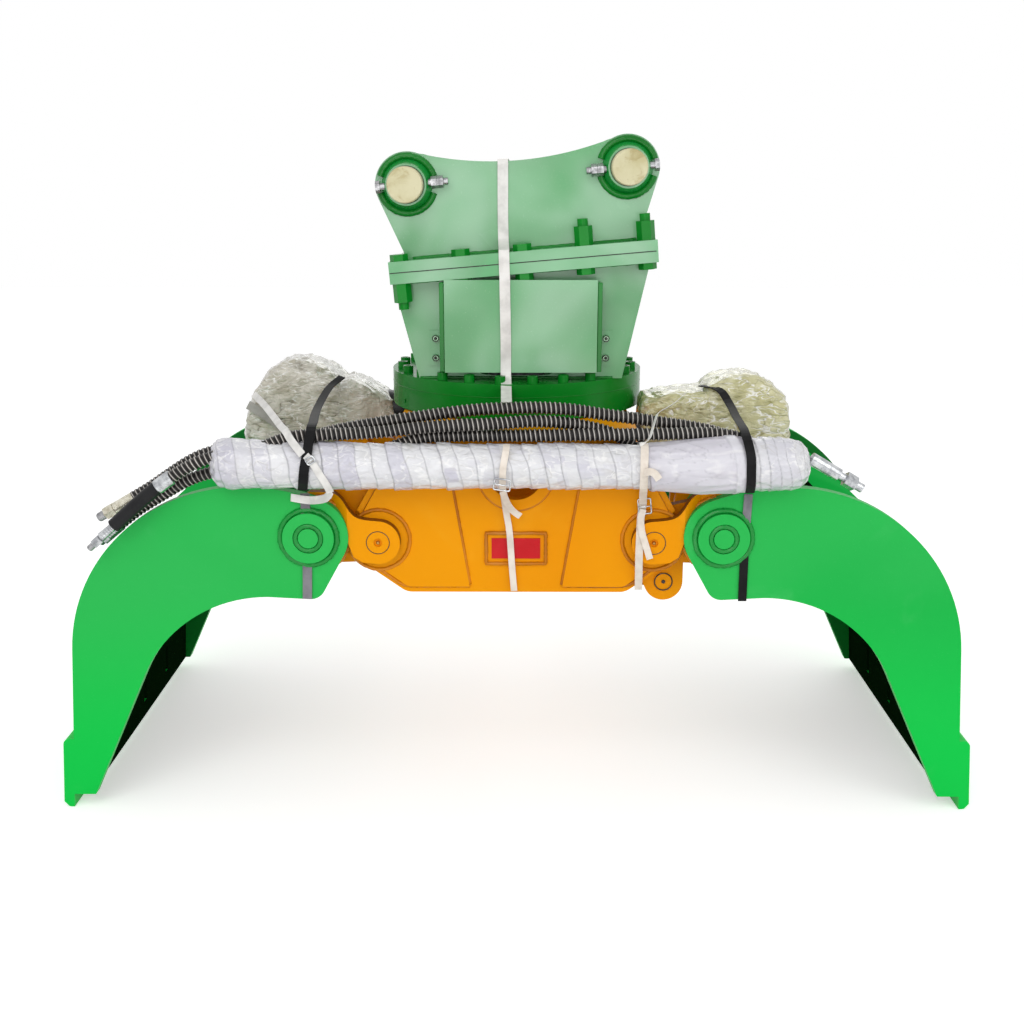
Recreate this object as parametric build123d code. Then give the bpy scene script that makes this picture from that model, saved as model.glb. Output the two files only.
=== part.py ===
from build123d import *
import os
from math import atan2, cos, degrees, hypot, radians, sin, sqrt, tan

# Log grapple with a bolt-on upper bracket, a slewing head and two jaws.
# Origin: slewing axis at the floor. +X to the right of the photograph, +Y away from the viewer, +Z up.
# Driving dimensions, in millimetres and degrees.

# Widths across the plates, from front to rear
FRAME_WIDTH = 840.0
FRAME_PLATE = 25.0
OVERLAY_PLATE = 6.0
ROOT_PLATE = 25.0
HUB_PLAY = 1.0
TINE_PLAY = 2.0
TINE_PLATE = 30.0
INNER_PLAY = 5.0
LINK_PLATE = 24.0
LINK_PLAY = 3.0

# Jaw pivots and the tube that carries each jaw
PIVOT_X = 306.0
PIVOT_Z = 642.0
PIVOT_PIN_R = 25.0
PIVOT_BUSH_WALL = 6.0
HUB_R = 49.0
PAD_R = 67.0
TUBE_X = 458.0
TUBE_Z = 656.0
TUBE_R = 57.0
TUBE_WALL = 23.0
TUBE_PROUD = 12.0
TUBE_COLLAR_R = 80.0
JAW_CLOSE_ANGLE = 66.5

# Tine outline
CROWN_X = 600.0
CROWN_TOP_Z = 770.0
CROWN_R = 406.0
SHOULDER_R = 493.0
ROOT_R = 87.0
TINE_LEAN = 4.0
TINE_FOOT_Z = 32.0
THROAT_X = 555.0
THROAT_TOP_Z = 517.0
THROAT_R = 317.0
TIP_INNER_X = 980.0
HEEL_X = 439.0
HEEL_Z = 511.0
HEEL_R = 35.0

# Skin plate and cutting lip
SKIN_PLATE = 12.0
SKIN_RECESS = 25.0
SKIN_START_ANGLE = 77.0
SLOT_WIDTH = 22.0
SLOT_HEIGHT = 70.0
SLOT_Z = 110.0
SLOT_PITCH = 213.0
LIP_PLATE = 24.0
LIP_HEIGHT = 171.0
LIP_NOSE_R = 14.0
LIP_BEVEL = 12.0

# Synchronising link
LUG_RADIUS = 112.0
LUG_LOW_ANGLE = 285.5
LUG_HIGH_ANGLE = 38.5
LUG_R = 44.0
LINK_END_R = 40.0
LINK_BAR_WIDTH = 60.0
LINK_PIN_R = 23.5

# Cylinders
CYLINDER_Y = 150.0
BASE_PIN_Z = 794.0
HORN_EYE_X = 455.0
HORN_EYE_Z = 852.0
CYLINDER_PIN_R = 25.0
EYE_R = 44.0
EYE_WIDTH = 60.0
EAR_SIDE_GAP = 2.0
BARREL_R = 50.0
BORE_R = 40.0
BARREL_START = 60.0
BARREL_END = 356.0
BARREL_FLOOR = 18.0
GLAND_FLANGE = 16.0
GLAND_SPIGOT = 36.0
GLAND_FLANGE_R = 54.0
ROD_R = 25.0
PISTON_WIDTH = 38.0
PISTON_START = 84.0
PORT_R = 14.0
PORT_HEIGHT = 16.0

# Horn plates on the jaws
HORN_PLATE = 25.0
HORN_EYE_R = 58.0
HORN_PEAK_X = 552.0
HORN_PEAK_Z = 880.0
HORN_PEAK_R = 84.0
HORN_FOOT_X = 610.0
HORN_FOOT_Z = 768.0
HORN_CAP_R = 38.0
HORN_CAP = 12.0

# Frame
FRAME_BOTTOM_Z = 518.0
FRAME_BOTTOM_HALF = 247.0
FRAME_TOP_HALF = 268.0
FRAME_TOP_Z = 862.0
TOP_PLATE = 25.0
SHOULDER_X = 354.0
SHOULDER_Z = 709.0
BOTTOM_PLATE = 16.0
BOTTOM_PLATE_HALF = 150.0
RIB_PLATE = 20.0
RIB_X = 95.0
RIB_BOTTOM_Z = 730.0
EAR_PLATE = 22.0
BASE_EAR_R = 50.0
ACCESS_HOLE_R = 60.0
ACCESS_RING_R = 83.0
ACCESS_Z = 794.0
NOTCH_START_X = 115.0
NOTCH_HALF_WIDTH = 56.0
OVERLAY_INSET = 14.0
OVERLAY_TOP_X = 158.0
OVERLAY_FOOT_X = 102.0
NAME_PLATE_W = 109.0
NAME_PLATE_H = 47.0
NAME_PLATE_Z = 621.0
NAME_FRAME_W = 137.0
NAME_FRAME_H = 75.0
NAME_PLATE_T = 3.0

# Slewing ring, pinion, motor and swivel
RING_R = 306.0
RACE_R = 248.0
RACE_GAP = 0.6
RING_DROP = 3.0
RING_HEIGHT = 52.0
BASE_PLATE = 30.0
GEAR_MODULE = 7.0
GEAR_TEETH = 60
PINION_TEETH = 15
TOOTH_HALF = 4.9
FLANK_ANGLE = 20.0
TOOTH_TIP = 6.0
TOOTH_ROOT = 8.0
RING_BOLTS = 24
RING_BOLT_CIRCLE_R = 282.0
RING_BOLT_HEAD_R = 12.0
RING_BOLT_HEAD = 16.0
INNER_BOLT_CIRCLE_R = 226.0
INNER_BOLT_AF = 24.0
INNER_BOLT_HEAD = 11.0
GREASE_PORT_R = 5.0
SWIVEL_R = 50.0
SWIVEL_CORE_R = 30.0
SWIVEL_LOW_Z = 700.0
SWIVEL_FLANGE_R = 78.0
SWIVEL_BLOCK_R = 46.0
SWIVEL_BLOCK_TOP = 1062.0
MOTOR_R = 62.0
MOTOR_HEIGHT = 172.0
MOTOR_SHAFT_R = 20.0
MOTOR_SPIGOT_R = 27.0
MOTOR_STANDS = 9.0

# Lower bracket, bolted flanges and upper ears
FLANGE_TILT = 4.8
FLANGE_MID_X = 15.5
FLANGE_MID_Z = 1241.0
FLANGE_LENGTH = 608.0
FLANGE_WIDTH = 500.0
FLANGE_PLATE = 25.0
BRACKET_PLATE = 20.0
BRACKET_OUTER_Y = 205.0
BRACKET_FOOT_LEFT = 226.0
BRACKET_FOOT_RIGHT = 246.0
BRACKET_TOP_LEFT = 283.0
BRACKET_TOP_RIGHT = 306.0
WINDOW_HALF = 95.0
WINDOW_HEIGHT = 185.0
WEB_PLATE = 16.0
BRACKET_WEB_X = 200.0
FLANGE_BOLT_PITCH = 140.0
FLANGE_BOLT_Y = 229.0
FLANGE_BOLT_R = 12.0
FLANGE_BOLT_AF = 36.0
FLANGE_NUT = 21.5
FLANGE_HEAD = 15.0
PIN_R = 40.0
PIN_LENGTH = 520.0
STICK_PIN_X = -248.0
STICK_PIN_Z = 1410.0
PIN_SPACING = 500.0
PIN_RISE = 38.0
EAR_GAP = 320.0
EAR_THICKNESS = 25.0
EAR_R = 73.0
EAR_SADDLE_X = -20.0
EAR_SADDLE_Z = 1462.0
EAR_LEAN_LEFT = 24.0
EAR_LEAN_RIGHT = 17.0
BOSS_ROOT_R = 58.0
BOSS_FACE_R = 46.0
BOSS_PROUD = 37.0
RETAINER_R = 8.0
RETAINER_AF = 24.0
RETAINER_NUT = 13.0
EAR_WEB_HEIGHT = 110.0

# Cover in front of the motor window
COVER_SHEET = 4.0
COVER_FACE_Y = 254.0
COVER_LEFT = 164.0
COVER_RIGHT = 184.0
COVER_FLARE = 8.0
COVER_LOW_Z = 992.0
COVER_TOP_Z = 1202.0
COVER_RETURN_DROP = 7.0
COVER_LUG = 30.0
COVER_LUG_LOW_Z = 1002.0
COVER_LUG_HEIGHT = 82.0
COVER_SCREW_R = 7.0
COVER_SCREW_PITCH = 45.0

# Hose bundle and loose hoses
ROLL_R = 52.0
ROLL_LEFT = 668.0
ROLL_RIGHT = 636.0
ROLL_EDGE_R = 24.0
HOSE_R = 14.0
FITTING_R = 14.0
UPPER_FITTING = 78.0
LOWER_FITTING = 62.0
BACK_FITTING = 95.0
ROLL_FITTING = 132.0
TOUCH = 0.3

# Clearances
RUNNING = 0.08
PRESS = 0.04
WELD_GAP = 0.1


def place(x, y, z):
    return Pos(x, y, z)


def slab(outline, low_y, high_y):
    """Plate cut from an XZ outline, from low_y to high_y."""
    return extrude(Plane.XZ.offset(-high_y) * outline, high_y - low_y)


def level(outline, low_z, high_z):
    """Plate cut from an XY outline, from low_z to high_z."""
    return extrude(Plane.XY.offset(low_z) * outline, high_z - low_z)


def disc(radius, x, z):
    return Pos(x, z) * Circle(radius)


def outline(*points):
    return make_face(Polyline(*points, close=True))


def tapered(x1, z1, r1, x2, z2, r2):
    """Two discs joined by their outer tangents."""
    reach = hypot(x2 - x1, z2 - z1)
    heading = atan2(z2 - z1, x2 - x1)
    spread = radians(90) + atan2(r2 - r1, sqrt(reach ** 2 - (r2 - r1) ** 2))
    corners = []
    for x, z, r, side in ((x1, z1, r1, 1), (x2, z2, r2, 1), (x2, z2, r2, -1), (x1, z1, r1, -1)):
        angle = heading + side * spread
        corners.append((x + r * cos(angle), z + r * sin(angle)))
    return outline(*corners) + disc(r1, x1, z1) + disc(r2, x2, z2)


def front_and_rear(part):
    return part + mirror(part, about=Plane.XZ)


def on_side(part, side):
    """The right-hand part, or its mirror image on the left."""
    return part if side > 0 else mirror(part, about=Plane.YZ)


def pin_along_y(radius, x, z, low_y, high_y):
    return slab(disc(radius, x, z), low_y, high_y)


def solids_of(*parts):
    return Compound(children=[solid for part in parts for solid in part.solids()])


def turned(x, z, angle):
    """A point of the right jaw after it has closed by an angle."""
    reach = hypot(x - PIVOT_X, z - PIVOT_Z)
    heading = atan2(z - PIVOT_Z, x - PIVOT_X) - radians(angle)
    return PIVOT_X + reach * cos(heading), PIVOT_Z + reach * sin(heading)


# Levels worked out from the driving dimensions
frame_out = FRAME_WIDTH / 2
frame_in = frame_out - FRAME_PLATE
overlay_out = frame_out + OVERLAY_PLATE
hub_in = overlay_out + HUB_PLAY
hub_out = hub_in + ROOT_PLATE
tine_in = overlay_out + TINE_PLAY
tine_out = tine_in + TINE_PLATE
neck_in = tine_in - ROOT_PLATE
inner_out = frame_in - INNER_PLAY
inner_in = inner_out - ROOT_PLATE
link_out = inner_in - LINK_PLAY
link_in = link_out - LINK_PLATE
tube_end = tine_out + TUBE_PROUD
top_plate_top = FRAME_TOP_Z + TOP_PLATE
outer_ring_low = top_plate_top + RING_DROP
base_low = outer_ring_low + RING_HEIGHT
base_top = base_low + BASE_PLATE
inner_ring_top = base_low - RING_DROP
gear_pitch_r = GEAR_MODULE * GEAR_TEETH / 2
pinion_pitch_r = GEAR_MODULE * PINION_TEETH / 2
pinion_y = -(gear_pitch_r - pinion_pitch_r)
ear_in = EAR_GAP / 2
ear_out = ear_in + EAR_THICKNESS
boss_out = ear_out + BOSS_PROUD
bracket_in = BRACKET_OUTER_Y - BRACKET_PLATE
eye_half = EYE_WIDTH / 2
ear_near = eye_half + EAR_SIDE_GAP
link_pin_x = STICK_PIN_X + sqrt(PIN_SPACING ** 2 - PIN_RISE ** 2)
link_pin_z = STICK_PIN_Z + PIN_RISE
lip_lean = radians(TINE_LEAN)
crown_z = CROWN_TOP_Z - CROWN_R
rod_reach = hypot(HORN_EYE_X, HORN_EYE_Z - BASE_PIN_Z)
rod_angle = degrees(atan2(HORN_EYE_Z - BASE_PIN_Z, HORN_EYE_X))
closed_eye = turned(HORN_EYE_X, HORN_EYE_Z, JAW_CLOSE_ANGLE)
rod_stroke = hypot(closed_eye[0], closed_eye[1] - BASE_PIN_Z) - rod_reach
low_lug = (PIVOT_X + LUG_RADIUS * cos(radians(LUG_LOW_ANGLE)),
           PIVOT_Z + LUG_RADIUS * sin(radians(LUG_LOW_ANGLE)))
high_lug = (PIVOT_X - LUG_RADIUS * cos(radians(LUG_HIGH_ANGLE)),
            PIVOT_Z + LUG_RADIUS * sin(radians(LUG_HIGH_ANGLE)))


def flange_z(x, above=0.0):
    """Height of the tilted joint at x, or of a face parallel to it."""
    tilt = radians(FLANGE_TILT)
    return FLANGE_MID_Z + (x - FLANGE_MID_X) * tan(tilt) + above / cos(tilt)


def tilted(part):
    """Move a part drawn about the joint's middle onto the tilted joint."""
    return Pos(FLANGE_MID_X, 0, FLANGE_MID_Z) * Rot(0, -FLANGE_TILT, 0) * part


def tine_outline():
    """Side outline of the right-hand tine."""
    shoulder_z = CROWN_TOP_Z - SHOULDER_R
    away = hypot(TUBE_X - CROWN_X, TUBE_Z - shoulder_z)
    shoulder = (CROWN_X + SHOULDER_R * (TUBE_X - CROWN_X) / away,
                shoulder_z + SHOULDER_R * (TUBE_Z - shoulder_z) / away)
    half = (atan2(TUBE_Z - shoulder_z, TUBE_X - CROWN_X) + radians(90)) / 2
    shoulder_mid = (CROWN_X + SHOULDER_R * cos(half), shoulder_z + SHOULDER_R * sin(half))
    lean = radians(TINE_LEAN)
    crown_end = (CROWN_X + CROWN_R * cos(lean), crown_z + CROWN_R * sin(lean))
    crown_mid = (CROWN_X + CROWN_R * cos(radians(47)), crown_z + CROWN_R * sin(radians(47)))
    foot = (crown_end[0] + (crown_end[1] - TINE_FOOT_Z) * tan(lean), TINE_FOOT_Z)
    throat_z = THROAT_TOP_Z - THROAT_R
    reach = hypot(TIP_INNER_X - THROAT_X, TINE_FOOT_Z - throat_z)
    heading = atan2(TINE_FOOT_Z - throat_z, TIP_INNER_X - THROAT_X)
    leave = heading + atan2(sqrt(reach ** 2 - THROAT_R ** 2), THROAT_R)
    throat_end = (THROAT_X + THROAT_R * cos(leave), throat_z + THROAT_R * sin(leave))
    middle = (leave + radians(90)) / 2
    throat_mid = (THROAT_X + THROAT_R * cos(middle), throat_z + THROAT_R * sin(middle))
    edges = [
        ThreePointArc(shoulder, shoulder_mid, (CROWN_X, CROWN_TOP_Z)),
        ThreePointArc((CROWN_X, CROWN_TOP_Z), crown_mid, crown_end),
        Line(crown_end, foot),
        Line(foot, (TIP_INNER_X, TINE_FOOT_Z)),
        Line((TIP_INNER_X, TINE_FOOT_Z), throat_end),
        ThreePointArc(throat_end, throat_mid, (THROAT_X, THROAT_TOP_Z)),
        Line((THROAT_X, THROAT_TOP_Z), (HEEL_X, HEEL_Z)),
    ]
    heel_dx = HEEL_X - TUBE_X
    heel_dz = HEEL_Z - TUBE_Z
    heel_reach = hypot(heel_dx, heel_dz)
    touch = atan2(heel_dz, heel_dx) - atan2(sqrt(heel_reach ** 2 - ROOT_R ** 2), ROOT_R)
    root_end = (TUBE_X + ROOT_R * cos(touch), TUBE_Z + ROOT_R * sin(touch))
    edges.append(Line((HEEL_X, HEEL_Z), root_end))
    edges.append(ThreePointArc(root_end, (TUBE_X - ROOT_R, TUBE_Z), shoulder))
    face = make_face(edges)
    heel = face.vertices().sort_by_distance((HEEL_X, HEEL_Z, 0))[0]
    return fillet(heel, HEEL_R)


def edge_point(z, outside=0.0):
    """X of the tine's straight outer edge at a height, or of a line parallel to it."""
    crown_end_x = CROWN_X + CROWN_R * cos(lip_lean)
    crown_end_z = crown_z + CROWN_R * sin(lip_lean)
    return crown_end_x + (crown_end_z - z) * tan(lip_lean) + outside / cos(lip_lean)


def make_tine_plates(side):
    blank = tine_outline() - disc(TUBE_R + WELD_GAP, TUBE_X, TUBE_Z)
    return on_side(front_and_rear(slab(blank, tine_in, tine_out)), side)


def make_skin(side):
    """Curved plate between the tines, just inside their outer edge."""
    outer = CROWN_R - SKIN_RECESS
    inner = outer - SKIN_PLATE
    start = radians(SKIN_START_ANGLE)
    middle = radians((SKIN_START_ANGLE + TINE_LEAN) / 2)
    foot = TINE_FOOT_Z

    def on_circle(radius, angle):
        return CROWN_X + radius * cos(angle), crown_z + radius * sin(angle)

    edges = [
        ThreePointArc(on_circle(outer, start), on_circle(outer, middle), on_circle(outer, lip_lean)),
        Line(on_circle(outer, lip_lean), (edge_point(foot, -SKIN_RECESS), foot)),
        Line((edge_point(foot, -SKIN_RECESS), foot), (edge_point(foot, -SKIN_RECESS - SKIN_PLATE), foot)),
        Line((edge_point(foot, -SKIN_RECESS - SKIN_PLATE), foot), on_circle(inner, lip_lean)),
        ThreePointArc(on_circle(inner, lip_lean), on_circle(inner, middle), on_circle(inner, start)),
        Line(on_circle(inner, start), on_circle(outer, start)),
    ]
    skin = slab(make_face(edges), -tine_in, tine_in)
    slot = Box(8 * SKIN_PLATE, SLOT_WIDTH, SLOT_HEIGHT)
    for step in (-1, 0, 1):
        skin -= place(edge_point(SLOT_Z, -SKIN_RECESS), step * SLOT_PITCH, SLOT_Z) * slot
    return on_side(skin, side)


def make_lip(side):
    """Replaceable cutting lip along both tine tips, bevelled where it stands."""
    profile = outline((0, 0), (LIP_PLATE, 0), (LIP_PLATE, LIP_HEIGHT), (0, LIP_HEIGHT))
    foot_outer = profile.vertices().sort_by_distance((LIP_PLATE, 0, 0))[0]
    profile = chamfer(foot_outer, LIP_BEVEL)
    top_outer = profile.vertices().sort_by_distance((LIP_PLATE, LIP_HEIGHT, 0))[0]
    profile = fillet(top_outer, LIP_NOSE_R)
    leaned = Pos(edge_point(0), 0) * Rot(0, 0, TINE_LEAN) * profile
    return on_side(slab(leaned, -tine_out, tine_out), side)


def root_outline():
    """Side outline of the outer root plate: hub, neck and collar round the tube."""
    top = Spline(
        (PIVOT_X, PIVOT_Z + HUB_R),
        (PIVOT_X + 52, PIVOT_Z + 61),
        (PIVOT_X + 103, PIVOT_Z + 109),
        tangents=[(1, 0.1), (1, 0.15)],
    )
    side = Polyline(
        (PIVOT_X + 103, PIVOT_Z + 109),
        (TUBE_X, TUBE_Z + 96),
        (TUBE_X + 52, TUBE_Z + 60),
        (TUBE_X, TUBE_Z),
        (PIVOT_X + 68, PIVOT_Z + 4),
        (PIVOT_X + 55, PIVOT_Z - 33),
        (PIVOT_X + 36, PIVOT_Z - 46),
        (PIVOT_X, PIVOT_Z - HUB_R),
        (PIVOT_X, PIVOT_Z + HUB_R),
    )
    neck = make_face([top, side])
    return neck + disc(HUB_R, PIVOT_X, PIVOT_Z) + disc(TUBE_COLLAR_R, TUBE_X, TUBE_Z)


def make_outer_roots(side):
    """Plates that run in front of the frame at the hub and step in behind the tine plates."""
    step_start = PIVOT_X + HUB_R + 18
    step_end = step_start + 38
    far = TUBE_X + 2 * TUBE_COLLAR_R
    near = PIVOT_X - 2 * HUB_R
    strip = outline(
        (near, hub_in), (near, hub_out), (step_start, hub_out), (step_end, tine_in),
        (far, tine_in), (far, neck_in), (step_end, neck_in), (step_start, hub_in),
    )
    blank = root_outline() - disc(PIVOT_PIN_R + PRESS, PIVOT_X, PIVOT_Z)
    blank -= disc(TUBE_R + WELD_GAP, TUBE_X, TUBE_Z)
    bent = slab(blank, neck_in - 1, hub_out + 1) & level(strip, FRAME_BOTTOM_Z, FRAME_TOP_Z)
    bent -= slab(offset(tine_outline(), WELD_GAP), tine_in, tine_out)
    return on_side(front_and_rear(bent), side)


def make_inner_roots(side):
    """Plates behind the frame plates; the front ones carry the link's lugs."""
    holes = disc(PIVOT_PIN_R + PRESS, PIVOT_X, PIVOT_Z)
    tube_hole = disc(TUBE_R + WELD_GAP, TUBE_X, TUBE_Z)
    plain = tapered(PIVOT_X, PIVOT_Z, HUB_R + 11, TUBE_X, TUBE_Z, TUBE_COLLAR_R)
    rear = slab(plain - holes - tube_hole, inner_in, inner_out)
    if side > 0:
        lug = tapered(PIVOT_X, PIVOT_Z, HUB_R + 11, *low_lug, LUG_R)
        web = outline((low_lug[0] + LUG_R, low_lug[1]), (low_lug[0] + LUG_R, PIVOT_Z),
                      (PIVOT_X, PIVOT_Z), low_lug)
        pin_at = low_lug
    else:
        lug = tapered(PIVOT_X, PIVOT_Z, HUB_R + 11, *high_lug, LUG_R)
        web = outline((high_lug[0], high_lug[1] + LUG_R), (high_lug[0] + 180, high_lug[1] + LUG_R + 10),
                      (TUBE_X, TUBE_Z + TUBE_COLLAR_R), (TUBE_X, TUBE_Z), (PIVOT_X, PIVOT_Z), high_lug)
        pin_at = high_lug
    front = plain + lug + web - holes - tube_hole - disc(LINK_PIN_R + PRESS, *pin_at)
    return on_side(rear + slab(front, -inner_out, -inner_in), side)


def make_cross_tube(side):
    tube = slab(Circle(TUBE_R) - Circle(TUBE_R - TUBE_WALL), -tube_end, tube_end)
    plug_r = TUBE_R - TUBE_WALL - WELD_GAP
    core_r = plug_r * 0.65
    plug = slab(Circle(plug_r), tube_end - 30, tube_end - 6) + slab(Circle(core_r), tube_end - 30, tube_end)
    group = solids_of(tube, plug, mirror(plug, about=Plane.XZ))
    return on_side(place(TUBE_X, 0, TUBE_Z) * group, side)


def horn_outline():
    """Side outline of a horn plate: collar round the tube, rod eye and guard above it."""
    peak = (HORN_PEAK_X, HORN_PEAK_Z)
    body = tapered(TUBE_X, TUBE_Z, TUBE_COLLAR_R, HORN_EYE_X, HORN_EYE_Z, HORN_EYE_R)
    guard = tapered(HORN_EYE_X, HORN_EYE_Z, HORN_EYE_R, *peak, HORN_PEAK_R)
    back = outline((TUBE_X, TUBE_Z), (HORN_EYE_X, HORN_EYE_Z), peak,
                   (HORN_PEAK_X + HORN_PEAK_R, HORN_PEAK_Z), (HORN_FOOT_X + 20, HORN_FOOT_Z),
                   (HORN_FOOT_X - 40, TUBE_Z + 20), (TUBE_X + 50, TUBE_Z - 40))
    return body + guard + back


def make_horns(side):
    """Two horn plates with the caps that close the rod pin, on the cylinder's own plane."""
    blank = horn_outline() - disc(TUBE_R + WELD_GAP, TUBE_X, TUBE_Z)
    cap = disc(HORN_CAP_R, HORN_EYE_X, HORN_EYE_Z)
    parts = []
    for sign in (-1, 1):
        near = sign * ear_near
        far = sign * (ear_near + HORN_PLATE)
        edge = sign * (ear_near + HORN_PLATE + HORN_CAP)
        centre = -side * CYLINDER_Y
        low, high = sorted((centre + near, centre + far))
        parts.append(slab(blank, low, high))
        low, high = sorted((centre + far, centre + edge))
        parts.append(slab(cap, low, high))
    return on_side(solids_of(*parts), side)


def make_pivot_pins(side):
    pin = pin_along_y(PIVOT_PIN_R, PIVOT_X, PIVOT_Z, inner_in - 1, hub_out)
    pin -= pin_along_y(PIVOT_PIN_R * 0.38, PIVOT_X, PIVOT_Z, hub_out - 5, hub_out)
    pin += pin_along_y(PIVOT_PIN_R * 0.16, PIVOT_X, PIVOT_Z, hub_out - 5, hub_out + 1)
    return on_side(front_and_rear(pin), side)


def along_cylinder(part, side):
    """Put a part drawn along +X from the base pin onto the right cylinder, or on the left one."""
    placed = place(0, -side * CYLINDER_Y, BASE_PIN_Z) * Rot(0, -rod_angle, 0) * part
    return on_side(placed, side)


def round_bar(radius, start, end):
    return Pos(start, 0, 0) * Rot(0, 90, 0) * Cylinder(radius, end - start, align=(Align.CENTER, Align.CENTER, Align.MIN))


def make_barrel(side):
    eye = pin_along_y(EYE_R, 0, 0, -eye_half, eye_half)
    eye += slab(outline((0, -EYE_R + 4), (BARREL_START, -EYE_R + 4), (BARREL_START, EYE_R - 4), (0, EYE_R - 4)),
                -eye_half, eye_half)
    barrel = eye + round_bar(BARREL_R, BARREL_START, BARREL_END)
    barrel -= round_bar(BORE_R, BARREL_START + BARREL_FLOOR, BARREL_END + 1)
    barrel -= pin_along_y(CYLINDER_PIN_R + RUNNING, 0, 0, -EYE_WIDTH, EYE_WIDTH)
    for at in (BARREL_START + BARREL_FLOOR + PORT_R, BARREL_END - GLAND_SPIGOT - 2 * PORT_R):
        port = Cylinder(PORT_R, PORT_HEIGHT + 6, align=(Align.CENTER, Align.CENTER, Align.MIN))
        turned_port = Rot(90, 0, 0) * Pos(0, 0, BARREL_R - 6) * port
        barrel += Pos(at, 0, 0) * turned_port
    return along_cylinder(barrel, side)


def make_gland(side):
    gland = round_bar(GLAND_FLANGE_R, BARREL_END, BARREL_END + GLAND_FLANGE)
    gland += round_bar(BORE_R - PRESS, BARREL_END - GLAND_SPIGOT, BARREL_END)
    gland -= round_bar(ROD_R + RUNNING, BARREL_END - GLAND_SPIGOT - 1, BARREL_END + GLAND_FLANGE + 1)
    return along_cylinder(gland, side)


def make_rod(side):
    """Rod with its eye, the piston and the pin that closes the eye."""
    piston_end = PISTON_START + PISTON_WIDTH
    rod = round_bar(ROD_R, piston_end, rod_reach - EYE_R + 14)
    eye = Pos(rod_reach, 0, 0) * pin_along_y(EYE_R, 0, 0, -eye_half, eye_half)
    hole = Pos(rod_reach, 0, 0) * pin_along_y(CYLINDER_PIN_R + PRESS, 0, 0, -EYE_WIDTH, EYE_WIDTH)
    rod = rod + eye - hole
    piston = round_bar(BORE_R - RUNNING, PISTON_START, piston_end)
    pin = Pos(rod_reach, 0, 0) * pin_along_y(CYLINDER_PIN_R, 0, 0, -eye_half - 1, eye_half + 1)
    return along_cylinder(solids_of(rod, piston, pin), side)


def make_sync_link():
    """Flat link from the right jaw's low lug to the left jaw's high lug."""
    left = (-high_lug[0], high_lug[1])
    dx = left[0] - low_lug[0]
    dz = left[1] - low_lug[1]
    reach = hypot(dx, dz)
    nx = -dz / reach * LINK_BAR_WIDTH / 2
    nz = dx / reach * LINK_BAR_WIDTH / 2
    bar = outline((low_lug[0] + nx, low_lug[1] + nz), (left[0] + nx, left[1] + nz),
                  (left[0] - nx, left[1] - nz), (low_lug[0] - nx, low_lug[1] - nz))
    blank = bar + disc(LINK_END_R, *low_lug) + disc(LINK_END_R, *left)
    blank -= disc(LINK_PIN_R + RUNNING, *low_lug)
    blank -= disc(LINK_PIN_R + PRESS, *left)
    stub = pin_along_y(LINK_PIN_R, *left, -link_out - 1, -link_in)
    return solids_of(slab(blank, -link_out, -link_in), stub)


def make_sync_pin(side):
    """Pin in a lug; the right one also carries the link and its end washer."""
    if side > 0:
        pin = pin_along_y(LINK_PIN_R, *low_lug, -inner_out - 1, -link_in + 1)
        washer = pin_along_y(LINK_PIN_R + 8, *low_lug, -link_in + 1, -link_in + 6)
        return pin + washer
    return on_side(pin_along_y(LINK_PIN_R, *high_lug, -inner_out - 1, -inner_in + 1), side)


def frame_outline():
    """Front view of a frame plate, round at the pivots and cut away above them."""
    left_pad = disc(PAD_R, -PIVOT_X, PIVOT_Z)
    right_pad = disc(PAD_R, PIVOT_X, PIVOT_Z)
    dx = FRAME_BOTTOM_HALF - PIVOT_X
    dz = FRAME_BOTTOM_Z - PIVOT_Z
    reach = hypot(dx, dz)
    touch = atan2(dz, dx) + atan2(sqrt(reach ** 2 - PAD_R ** 2), PAD_R)
    low = (PIVOT_X + PAD_R * cos(touch), PIVOT_Z + PAD_R * sin(touch))
    body = outline(
        (-FRAME_BOTTOM_HALF, FRAME_BOTTOM_Z), (FRAME_BOTTOM_HALF, FRAME_BOTTOM_Z), low,
        (PIVOT_X, PIVOT_Z), (SHOULDER_X, SHOULDER_Z), (FRAME_TOP_HALF, FRAME_TOP_Z),
        (-FRAME_TOP_HALF, FRAME_TOP_Z), (-SHOULDER_X, SHOULDER_Z), (-PIVOT_X, PIVOT_Z), (-low[0], low[1]),
    )
    corners = body.vertices().sort_by(Axis.Y)[0:2]
    body = fillet(corners, 40)
    return body + left_pad + right_pad


def overlay_outline():
    """Doubler on the right half of a frame plate, set in from the plate's edges."""
    rim = offset(frame_outline(), -OVERLAY_INSET)
    window = outline(
        (OVERLAY_FOOT_X, FRAME_BOTTOM_Z), (FRAME_WIDTH, FRAME_BOTTOM_Z), (FRAME_WIDTH, FRAME_TOP_Z - 10),
        (OVERLAY_TOP_X, FRAME_TOP_Z - 10),
    )
    return (rim & window) + disc(PAD_R, PIVOT_X, PIVOT_Z)


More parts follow.
